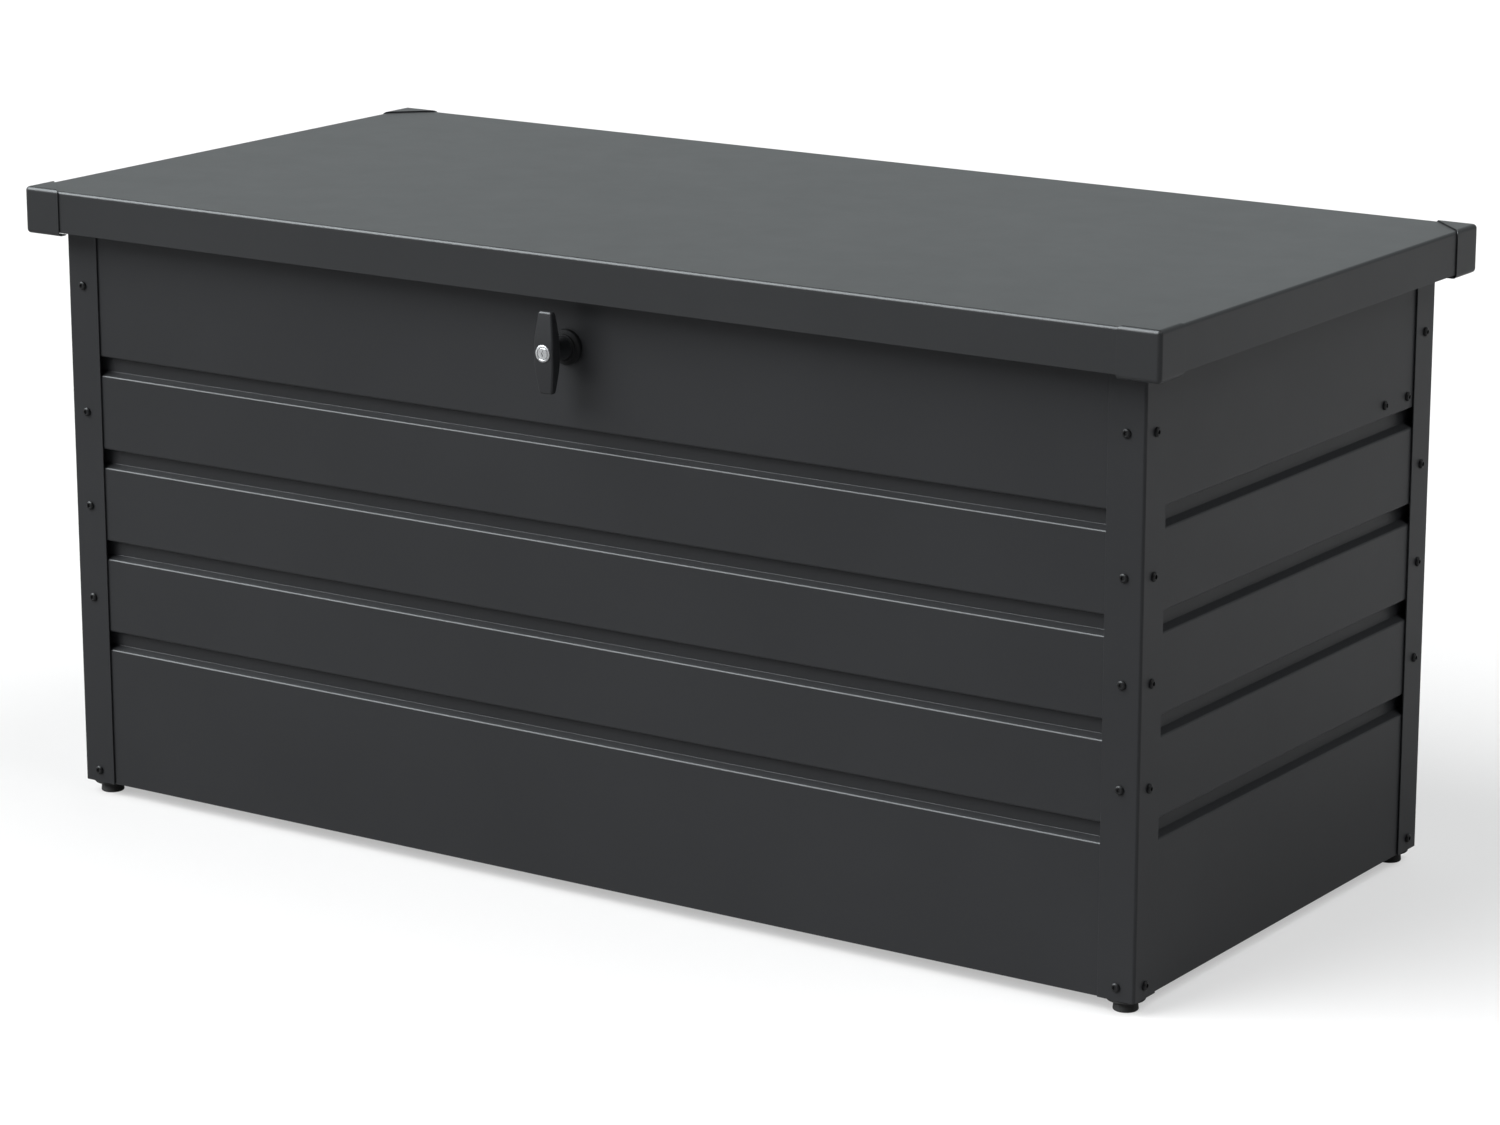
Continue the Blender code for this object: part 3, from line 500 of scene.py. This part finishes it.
def lathe(work, profile, place=Matrix(), steps=ROUND, ring=False):
    """A turned shape from (radius, height) points, about a frame's Z."""
    loft(work, [circle(place, radius, level, steps) for radius, level in profile], ring)


def prism(work, outline, low, high, matrix=Matrix()):
    """A shape of one outline between two heights of a frame's Z."""
    loft(work, [[matrix @ Vector((x, y, z)) for x, y in outline] for z in (low, high)])


def bent(points, radii, steps=FOLD_STEPS):
    """The path through some points in a plane, with its corners rounded.

    The radii are one for every corner, or a list with one for each.
    """
    path = [Vector(points[0])]
    if isinstance(radii, float):
        radii = [radii] * (len(points) - 2)
    for before, corner, after, radius in zip(points, points[1:], points[2:], radii):
        corner = Vector(corner)
        back = (Vector(before) - corner).normalized()
        ahead = (Vector(after) - corner).normalized()
        half = back.angle(ahead) / 2
        centre = corner + (back + ahead).normalized() * radius / sin(half)
        start = corner + back * radius / tan(half) - centre
        end = corner + ahead * radius / tan(half) - centre
        sweep = atan2(start.x * end.y - start.y * end.x, start.dot(end))
        for step in range(steps + 1):
            path.append(centre + Matrix.Rotation(sweep * step / steps, 2) @ start)
    path.append(Vector(points[-1]))
    return path


def sheet_outline(path, sheet):
    """The section of a sheet whose one face follows a path; the metal lies on its left."""
    ahead = [(b - a).normalized() for a, b in zip(path, path[1:])]
    normals = [Vector((-d.y, d.x)) for d in ahead]
    far = [path[0] + normals[0] * sheet]
    for index in range(1, len(path) - 1):
        middle = (normals[index - 1] + normals[index]).normalized()
        far.append(path[index] + middle * sheet / middle.dot(normals[index]))
    far.append(path[-1] + normals[-1] * sheet)
    tip = EDGE_BREAK
    first, last = ahead[0] * tip, ahead[-1] * tip
    rise, drop = normals[0] * tip, normals[-1] * tip
    near_side = [path[0] + rise, path[0] + first, *path[1:-1], path[-1] - last, path[-1] + drop]
    far_side = [far[-1] - drop, far[-1] - last, *reversed(far[1:-1]), far[0] + first, far[0] - rise]
    return near_side + far_side


def facing(outward, origin=(0, 0, 0)):
    """A frame whose Z points outwards from a wall, with its Y upwards."""
    z = Vector(outward).normalized()
    y = Vector((0, 0, 1))
    x = y.cross(z)
    turn = Matrix((x, y, z)).transposed().to_4x4()
    return Matrix.Translation(origin) @ turn


def between(foot, head):
    """A frame at foot whose Z points to head."""
    along = Vector(head) - Vector(foot)
    return Matrix.Translation(foot) @ along.to_track_quat("Z", "X").to_matrix().to_4x4()


def finished(node, slot, width=EDGE_BREAK):
    """A CAD node's shape with its facets merged and its edges broken."""
    item = frame["nodes"][node]
    work = bmesh.new()
    work.from_mesh(item.data)
    bmesh.ops.remove_doubles(work, verts=work.verts, dist=0.00002)
    bmesh.ops.dissolve_limit(
        work, angle_limit=radians(0.5), verts=work.verts, edges=work.edges,
        use_dissolve_boundaries=False,
    )
    work = with_modifiers(work, lambda holder: add_bevel(holder, width))
    make_piece(node + "_finished", work, item["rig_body"], slot, (node,))


# ---------------------------------------------------------------- walls and posts

def groove_path(low, high):
    """A wall's outer face from top to bottom: (depth into the box, height)."""
    path = [(0.0, high)]
    for index in reversed(range(GROOVE_COUNT)):
        bottom = GROOVE_LOWEST + index * GROOVE_PITCH
        top = bottom + GROOVE_HEIGHT
        path.append((0.0, top))
        path.append((GROOVE_DEPTH, top))
        path.append((GROOVE_DEPTH, bottom + GROOVE_LEDGE_RISE))
        path.append((0.0, bottom))
    path.append((0.0, low))
    one_groove = [GROOVE_LIP_BEND, GROOVE_INNER_BEND, GROOVE_INNER_BEND, GROOVE_LIP_BEND]
    return bent(path, one_groove * GROOVE_COUNT)


def walls():
    """Four grooved wall sheets."""
    along_x = Matrix(((0, 0, 1, 0), (1, 0, 0, 0), (0, 1, 0, 0), (0, 0, 0, 1)))
    headings = ("front_panel", "right_end_panel", "back_panel", "left_end_panel")
    for heading, node in enumerate(headings):
        low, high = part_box(node)
        middle = (low + high) / 2
        half = (high.x - low.x) / 2
        reach = (high.y - low.y) / 2
        if heading % 2:
            half, reach = reach, half
        turn = Matrix.Rotation(heading * pi / 2, 4, "Z")
        place = Matrix.Translation((middle.x, middle.y, 0)) @ turn
        place = place @ Matrix.Translation((0, -reach, 0)) @ along_x
        work = bmesh.new()
        outline = sheet_outline(groove_path(low.z, high.z), PANEL_SHEET)
        prism(work, outline, -half, half, place)
        if node == "front_panel":
            work = drilled(work)
        make_piece(node + "_finished", work, "box", "anthracite_powder_coat", (node,))


def drilled(work):
    """The front sheet with the lock's hole through it."""
    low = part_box("lock_rosette")[0]
    tool = bmesh.new()
    place = facing((0, -1, 0), (0, low.y, LOCK_Z))
    lathe(tool, [(BARREL_HOLE, -CUT_REACH), (BARREL_HOLE, CUT_REACH)], place)
    return cut(work, tool)


def posts():
    """Corner posts with a rolled bend, and the screws and nuts through them."""
    for end, back in ENDS.items():
        for side, right in SIDES.items():
            node = f"corner_post_{end}_{side}"
            low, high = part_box(node)
            corner = Vector((high.x if right > 0 else low.x, high.y if back > 0 else low.y))
            leg = high.x - low.x
            path = bent([(-leg, 0.0), (0.0, 0.0), (0.0, leg)], POST_BEND, 8)
            plan = []
            for point in sheet_outline(path, POST_SHEET):
                x, y = point.x * right, point.y * -back
                plan.append((corner.x + x, corner.y + y))
            work = bmesh.new()
            prism(work, plan, low.z, high.z)
            make_piece(node + "_finished", work, "box", "anthracite_powder_coat", (node,))
            post_fixings(f"{end}_{side}", corner, right, back)


def post_fixings(name, corner, right, back):
    """One post's screws, with a nut inside the wall on each."""
    heads, nuts = bmesh.new(), bmesh.new()
    inset_x = corner.x - right * SCREW_INSET
    inset_y = corner.y - back * SCREW_INSET
    for height in SCREW_HEIGHTS:
        depth = POST_SHEET + PANEL_SHEET + GAP
        if height == SCREW_HEIGHTS[0]:
            # The lowest screws go through a base rail too
            depth += RAIL_SHEET + GAP
        out_y = facing((0, back, 0), (inset_x, corner.y, height))
        out_x = facing((right, 0, 0), (corner.x, inset_y, height))
        for place in (out_y, out_x):
            pan_head(heads, place)
            hex_nut(nuts, place @ Matrix.Translation((0, 0, -depth - 2 * GAP)))
    make_piece(f"post_screws_{name}", heads, "box", "anthracite_powder_coat", finish=SCREW_COAT)
    make_piece(f"post_nuts_{name}", nuts, "box", "zinc_plated_steel")


def pan_head(work, place, radius=SCREW_RADIUS, height=SCREW_HEAD):
    """A domed screw head on a wall, with a hexagon socket."""
    steps = 24
    rim = 0.0006
    dome_steps = 5
    dome = radians(62)
    socket = radius * 0.42
    rings = [(radius * 0.985, 0.0001), (radius, rim)]
    for step in range(1, dome_steps + 1):
        angle = step / dome_steps * dome
        reach = radius * (1 - (1 - cos(angle)) * 0.62)
        rings.append((reach, rim + (height - rim) * sin(angle) / sin(dome)))
    rings.append((socket * 1.25, height))
    loops = [circle(place, reach, level, steps) for reach, level in rings]
    for level in (height - 0.0001, height - 0.0014):
        ring = []
        for i in range(steps):
            angle = 2 * pi * i / steps
            flat = socket / cos((angle % (pi / 3)) - pi / 6)
            ring.append(place @ Vector((flat * cos(angle), flat * sin(angle), level)))
        loops.append(ring)
    loft(work, loops)


def hex_nut(work, place, across=0.008, height=0.004, bolt=0.0024):
    """A hexagon nut inwards of a wall, with the end of its screw."""
    corner = across / sqrt(3)
    chamfer = 0.0005
    loft(work, [
        circle(place, corner * 0.93, 0.0, 6), circle(place, corner, -chamfer, 6),
        circle(place, corner, -height + chamfer, 6), circle(place, corner * 0.93, -height, 6),
    ])
    lathe(work, [
        (bolt, -height - 0.00005), (bolt, -height - 0.0015), (bolt * 0.8, -height - 0.002),
    ], place, 16)


# ---------------------------------------------------------------- lid

def lid():
    """The folded lid tray."""
    work = cube_between(*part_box("lid_panel"))
    lowest = min(work.faces, key=lambda face: face.calc_center_median().z)
    bmesh.ops.delete(work, geom=[lowest], context="FACES_ONLY")
    round_folds(work, LID_BEND)
    work = thickened(work, LID_SHEET, 0.0004)
    make_piece("lid_panel_finished", work, "lid", "lid_powder_coat", ("lid_panel",))


def split(work, faces, point, normal, clear=False):
    """Cut some faces along a plane, and drop what lies past it if asked."""
    edges = {edge for face in faces for edge in face.edges}
    verts = {vert for face in faces for vert in face.verts}
    bmesh.ops.bisect_plane(
        work, geom=[*verts, *edges, *faces], plane_co=point, plane_no=normal,
        clear_outer=clear, dist=0.000001,
    )


def lower_faces(work, level):
    """The faces along the bottom of a cap."""
    return [face for face in work.faces if face.calc_center_median().z < level + CAP_BEND]


def caps():
    """Corner caps: two short walls, a three-cornered top and a narrow lip below."""
    for end, back in ENDS.items():
        for side, right in SIDES.items():
            node = f"lid_cap_{end}_{side}"
            low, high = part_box(node)
            outer_x = high.x if right > 0 else low.x
            outer_y = high.y if back > 0 else low.y
            work = cube_between(low, high)
            inner_sides = [
                face for face in work.faces
                if face.normal.x * right < -0.5 or face.normal.y * back < -0.5
            ]
            bmesh.ops.delete(work, geom=inner_sides, context="FACES_ONLY")
            round_folds(work, CAP_BEND)
            upper = [
                face for face in work.faces if face.calc_center_median().z > high.z - CAP_BEND
            ]
            slant = (outer_x - right * CAP_LEG, outer_y, 0)
            split(work, upper, slant, (-right, -back, 0), True)
            lip_x, lip_y = outer_x - right * CAP_LIP, outer_y - back * CAP_LIP
            split(work, lower_faces(work, low.z), (lip_x, 0, 0), (-right, 0, 0))
            split(work, lower_faces(work, low.z), (0, lip_y, 0), (0, -back, 0))
            inside = []
            for face in lower_faces(work, low.z):
                centre = face.calc_center_median()
                if (lip_x - centre.x) * right > 0 and (lip_y - centre.y) * back > 0:
                    inside.append(face)
            bmesh.ops.delete(work, geom=inside, context="FACES")
            work = thickened(work, CAP_SHEET, 0.00025)
            make_piece(node + "_finished", work, "lid", "lid_powder_coat", (node,))


# ---------------------------------------------------------------- lock

def rounded_section(width, front, back, edge, level, place, steps=5):
    """A rounded rectangle in a level plane; front and back are its two faces' places."""
    half = width / 2
    points = []
    corners = (
        (half - edge, front - edge, 0), (-half + edge, front - edge, 1),
        (-half + edge, back + edge, 2), (half - edge, back + edge, 3),
    )
    for x, y, turn in corners:
        for step in range(steps + 1):
            angle = pi / 2 * (turn + step / steps)
            points.append(place @ Vector((x + edge * cos(angle), level, y + edge * sin(angle))))
    return points


def eased(away, start, end, power):
    """0 up to a start and 1 at an end, rising between them as a power."""
    return max(0.0, (away - start) / (end - start)) ** power


def lock_frame():
    """A frame at the lock's axis, with its Z out of the front wall."""
    return facing((0, -1, 0), (0, 0, LOCK_Z))


def t_handle():
    """The grip, tapered in width and leaning back towards both ends, on its round stem."""
    low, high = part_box("t_handle")
    place = lock_frame()
    front = -low.y
    foot = -high.y
    reach = (high.z - low.z) / 2
    width = high.x - low.x
    grip_back = front - GRIP
    # Distance from the middle, and how much the rounded tip has drawn in there
    half_levels = [
        (0.0, 0.0), (0.010, 0.0), (0.013, 0.0), (0.016, 0.0), (0.019, 0.0), (0.023, 0.0),
        (0.029, 0.0), (reach - 0.0022, 0.0), (reach - 0.0010, -0.0004),
        (reach - 0.0003, -0.0011), (reach, -0.0020),
    ]
    levels = [(-level, shrink) for level, shrink in reversed(half_levels[1:])] + half_levels
    rings = []
    for level, shrink in levels:
        taper = eased(abs(level), TAPER_START, reach, TAPER_POWER)
        lean = eased(abs(level), LEAN_START, reach, LEAN_POWER)
        wide = width - (width - GRIP_END_WIDTH) * taper + 2 * shrink
        rings.append(rounded_section(
            wide, front - FRONT_LEAN * lean + shrink, grip_back + BACK_LEAN * lean - shrink,
            GRIP_EDGE + shrink * 0.4, level, place,
        ))
    work = bmesh.new()
    loft(work, rings)
    lathe(work, [
        (0.0110, foot), (0.0113, foot + 0.0006), (0.0108, foot + 0.003), (0.0098, foot + 0.009),
        (0.0094, grip_back - 0.004), (0.0100, grip_back - 0.001), (0.0106, grip_back + 0.0015),
    ], place)
    face_low, face_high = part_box("lock_cylinder")
    radius = (face_high.x - face_low.x) / 2 + GAP
    seat = bmesh.new()
    lathe(seat, [(radius, front - LOCK_SEAT), (radius, front + 0.01)], place)
    work = cut(work, seat, True, lambda holder: add_bevel(holder, EDGE_BREAK, 60))
    make_piece("t_handle_finished", work, "handle", "anthracite_powder_coat", ("t_handle",),
               limit=radians(25))


def rosette():
    """The stepped round rosette, with its barrel through the wall."""
    low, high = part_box("lock_rosette")
    wall = -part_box("front_panel")[0].y
    outer = (high.x - low.x) / 2
    front = -low.y
    work = bmesh.new()
    lathe(work, [
        (SPINDLE_HOLE, front), (outer - 0.0052, front), (outer - 0.0046, front - 0.0004),
        (outer - 0.0042, front - 0.0022), (outer - 0.0036, front - 0.0026),
        (outer - 0.0014, front - 0.0030), (outer - 0.0004, front - 0.0038),
        (outer, front - 0.0052), (outer, wall + GAP), (BARREL_RADIUS, wall + GAP),
        (BARREL_RADIUS, wall - BARREL_LENGTH), (SPINDLE_HOLE, wall - BARREL_LENGTH),
    ], lock_frame(), FINE_ROUND, ring=True)
    make_piece("lock_rosette_finished", work, "box", "anthracite_powder_coat", ("lock_rosette",),
               MATT_COAT)


def lock_face():
    """The lock cylinder's rounded face ring, and the key plug with its slot."""
    place = lock_frame()
    low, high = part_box("lock_cylinder")
    front, back = -low.y, -high.y
    outer = (high.x - low.x) / 2
    plug_low, plug_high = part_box("lock_key_plug")
    plug = (plug_high.x - plug_low.x) / 2
    work = bmesh.new()
    lathe(work, [
        (plug + GAP, front - 0.0004), (plug + 0.0007, front), (outer - 0.0010, front),
        (outer - 0.0003, front - 0.0003), (outer, front - 0.0009), (outer, back),
        (plug + GAP, back),
    ], place, FINE_ROUND, ring=True)
    make_piece("lock_cylinder_finished", work, "handle", "satin_nickel", ("lock_cylinder",))

    work = bmesh.new()
    lathe(work, [
        (plug, back), (plug, front - 0.0004), (plug - 0.0004, front - 0.0001),
        (0.0043, front - 0.0001), (0.0040, front - 0.0002),
    ], place, 64)
    half, tall, notch = 0.0005, 0.0034, 0.0009
    notch_top, notch_bottom = 0.0012, -0.0006
    outline = [
        (-half, -tall), (half, -tall), (half, tall), (-half, tall), (-half, notch_top),
        (-half - notch, notch_top), (-half - notch, notch_bottom), (-half, notch_bottom),
    ]
    keyway = bmesh.new()
    prism(keyway, outline, front - KEYWAY_DEPTH, front + 0.003, place)
    work = cut(work, keyway)
    make_piece("lock_key_plug_finished", work, "key_plug", "satin_nickel", ("lock_key_plug",))


# ---------------------------------------------------------------- feet and struts

def feet():
    """Rubber feet: a thin wide flange over a slightly flared stump."""
    for end in ENDS:
        for side in SIDES:
            node = f"foot_{end}_{side}"
            low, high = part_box(node)
            centre = (low + high) / 2
            wide = (high.x - low.x) / 2
            work = bmesh.new()
            lathe(work, [
                (wide - 0.0004, high.z), (wide, high.z - 0.0005), (wide, high.z - 0.0022),
                (wide - 0.0008, high.z - 0.0030), (0.0128, high.z - 0.0032),
                (0.0120, high.z - 0.0040), (0.0119, 0.0060), (0.0124, 0.0016),
                (0.0122, 0.0006), (0.0115, low.z),
            ], Matrix.Translation((centre.x, centre.y, 0)), 64)
            make_piece(node + "_finished", work, "box", "black_rubber", (node,), limit=radians(50))


def struts():
    """Gas struts and their sockets, along the line between the two ball centres."""
    foot_y, foot_z = STRUT_FOOT
    head_y, head_z = STRUT_HEAD
    for side, right in SIDES.items():
        foot = Vector((right * STRUT_X, foot_y + BODY_CENTRE_Y, foot_z))
        head = Vector((right * STRUT_X, head_y + BODY_CENTRE_Y, head_z))
        place = between(foot, head)
        work = bmesh.new()
        lathe(work, [
            (0.0070, 0.0160), (0.0084, 0.0163), (0.0090, 0.0172), (0.0090, 0.2560),
            (0.0088, 0.2567), (0.0084, 0.2570), (0.0084, 0.2585), (0.0089, 0.2590),
            (0.0089, 0.2606), (0.0080, 0.2618), (0.0062, 0.2620), (0.0043, 0.2620),
            (0.0043, 0.2480), (0.0076, 0.2480), (0.0076, 0.0195), (0.0010, 0.0195),
            (0.0010, 0.0160),
        ], place, ring=True)
        node = f"strut_{side}_cylinder"
        make_piece(node + "_finished", work, f"strut_{side}_tube", "black_enamel", (node,))
        work = bmesh.new()
        lathe(work, [
            (0.0073, 0.0240), (0.0073, 0.0320), (0.0040, 0.0321), (0.0040, 0.3000),
        ], place)
        node = f"strut_{side}_rod"
        make_piece(
            node + "_finished", work, f"strut_{side}_piston", "satin_nickel", (node,), CHROME
        )
        for end in ("lower", "upper"):
            finished(f"strut_{side}_{end}_socket", "black_plastic", 0.0006)


def fitting_slots():
    """The material slot of each fitting that hasn't the box's own coat."""
    slots = {}
    for side in SIDES:
        slots[f"hinge_{side}_body_leaf"] = "black_enamel"
        slots[f"hinge_{side}_lid_leaf"] = "black_enamel"
        slots[f"hinge_{side}_pin"] = "zinc_plated_steel"
        slots[f"strut_{side}_body_bracket"] = "zinc_plated_steel"
        slots[f"strut_{side}_lid_bracket"] = "zinc_plated_steel"
        slots[f"lid_stiffener_{side}"] = "lid_powder_coat"
        slots[f"lid_buffer_{side}"] = "black_rubber"
    for node in ("lock_nut", "lock_spindle", "lock_cam", "lock_cam_screw", "lock_keeper"):
        slots[node] = "zinc_plated_steel"
    return slots


def fittings():
    """The remaining CAD nodes, each with broken edges and its own finish."""
    slots = fitting_slots()
    shown = [name for name, item in frame["nodes"].items() if not item.hide_render]
    for node in sorted(shown):
        finished(node, slots.get(node, "anthracite_powder_coat"))


def screw_group(name, places, body, slot, finish=None, **size):
    """A piece of screw heads, one in each frame."""
    heads = bmesh.new()
    for place in places:
        pan_head(heads, place, **size)
    make_piece(name, heads, body, slot, finish=finish)


def fitting_screws():
    """Screws of the strut brackets, the hinges and the lock's keeper."""
    lid_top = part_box("lid_panel")[1].z
    under_flange = lid_top - LID_SHEET - GAP - FLANGE_SHEET
    downwards = Matrix.Rotation(pi, 4, "X")
    for side, right in SIDES.items():
        low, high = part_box(f"{side}_end_panel")
        wall = high.x if right > 0 else low.x
        places = [facing((right, 0, 0), (wall, y + BODY_CENTRE_Y, z)) for y, z in BRACKET_SCREWS]
        screw_group(f"bracket_screws_{side}", places, "box", "anthracite_powder_coat", SCREW_COAT)

        low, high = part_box(f"hinge_{side}_body_leaf")
        middle = (low.x + high.x) / 2
        places = [
            facing((0, 1, 0), (middle + along, low.y + FLANGE_SHEET, low.z + rise))
            for along, rise in HINGE_SCREWS
        ]
        screw_group(f"hinge_screws_{side}", places, "box", "black_enamel", SCREW_COAT,
                    radius=HINGE_SCREW_RADIUS, height=HINGE_SCREW_HEAD)

        low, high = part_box(f"strut_{side}_lid_bracket")
        x = (low.x + high.x) / 2 - right * FLANGE_SHEET
        places = []
        for share in LID_BRACKET_SCREWS:
            spot = (x, low.y + (high.y - low.y) * share, under_flange)
            places.append(Matrix.Translation(spot) @ downwards)
        screw_group(f"lid_bracket_screws_{side}", places, "lid", "zinc_plated_steel")

    low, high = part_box("lock_keeper")
    places = []
    for share in KEEPER_SCREWS:
        spot = (low.x + (high.x - low.x) * share, high.y - KEEPER_SCREW_INSET, under_flange)
        places.append(Matrix.Translation(spot) @ downwards)
    screw_group("keeper_screws", places, "lid", "zinc_plated_steel")


# ---------------------------------------------------------------- stage

def sky():
    """Light that is dim in front and overhead, and bright low down behind."""
    world = bpy.data.worlds.new("studio")
    bpy.context.scene.world = world
    world.use_nodes = True
    tree = world.node_tree
    place = tree.nodes.new("ShaderNodeTexCoord").outputs["Generated"]
    axes = tree.nodes.new("ShaderNodeSeparateXYZ")
    tree.links.new(place, axes.inputs["Vector"])
    behind = remap(tree, axes.outputs["Y"], -0.1, 0.7, 0.0, 1.0)
    level = remap(tree, axes.outputs["Z"], 0.35, 0.90, 1.0, 0.0)
    right = remap(tree, axes.outputs["X"], 0.0, 0.6, 1.0, 0.42)
    share = math_node(tree, "MULTIPLY", math_node(tree, "MULTIPLY", behind, level), right)
    colour = mix_colour(tree, share, DIM_SKY, BRIGHT_SKY)
    rays = tree.nodes.new("ShaderNodeLightPath")
    colour = mix_colour(tree, rays.outputs["Is Camera Ray"], colour, BACKGROUND)
    tree.links.new(colour, tree.nodes["Background"].inputs["Color"])


def sun(name, toward, angle, strength, colour=WHITE, diffuse=True):
    """A soft distant light, by the direction to it and its width in degrees."""
    lamp = bpy.data.lights.new(name, "SUN")
    lamp.angle = radians(angle)
    lamp.energy = strength
    lamp.color = colour
    item = bpy.data.objects.new(name, lamp)
    item.visible_diffuse = diffuse
    item.rotation_mode = "QUATERNION"
    item.rotation_quaternion = Vector(toward).to_track_quat("Z", "Y")
    bpy.context.scene.collection.objects.link(item)


def pale_floor():
    """A wide white floor that glows a little, so it stays pale round the shadow."""
    work = bmesh.new()
    bmesh.ops.create_grid(work, x_segments=1, y_segments=1, size=FLOOR_SIZE)
    floor = placed("studio_floor", work)
    made, tree, shader = new_material("studio_floor")
    shader.inputs["Base Color"].default_value = (*FLOOR_TONE, 1.0)
    shader.inputs["Roughness"].default_value = 0.9
    shader.inputs["Specular IOR Level"].default_value = 0.1
    rays = tree.nodes.new("ShaderNodeLightPath")
    seen = math_node(tree, "MULTIPLY", rays.outputs["Is Camera Ray"], FLOOR_GLOW_SEEN)
    mirrored = math_node(tree, "MULTIPLY", rays.outputs["Is Glossy Ray"], FLOOR_GLOW_MIRRORED)
    glow = math_node(tree, "ADD", seen, mirrored)
    shader.inputs["Emission Color"].default_value = (*WHITE, 1.0)
    tree.links.new(glow, shader.inputs["Emission Strength"])
    floor.data.materials.append(made)


def camera():
    """A long lens from the right, the front and a little above."""
    lens = bpy.data.cameras.new("camera")
    lens.lens = CAMERA_LENS
    lens.sensor_width = CAMERA_SENSOR
    lens.clip_end = CAMERA_REACH
    item = bpy.data.objects.new("camera", lens)
    item.location = CAMERA_PLACE
    item.rotation_mode = "QUATERNION"
    item.rotation_quaternion = Vector(CAMERA_AIM).to_track_quat("-Z", "Y")
    bpy.context.scene.collection.objects.link(item)
    bpy.context.scene.camera = item


def studio():
    """A pale floor, soft light from the upper left front, and the camera."""
    sky()
    sun("key", (-0.475, -0.586, 0.656), 50, 3.8)
    sun("glint", (-0.542, -0.420, 0.728), 55, 14.0, COOL_WHITE, diffuse=False)
    sun("rim", (0.56, 0.16, 0.81), 42, 1.45)
    pale_floor()
    camera()
    bpy.context.scene.view_settings.view_transform = "Standard"


walls()
posts()
lid()
caps()
t_handle()
rosette()
lock_face()
feet()
struts()
fittings()
fitting_screws()
studio()
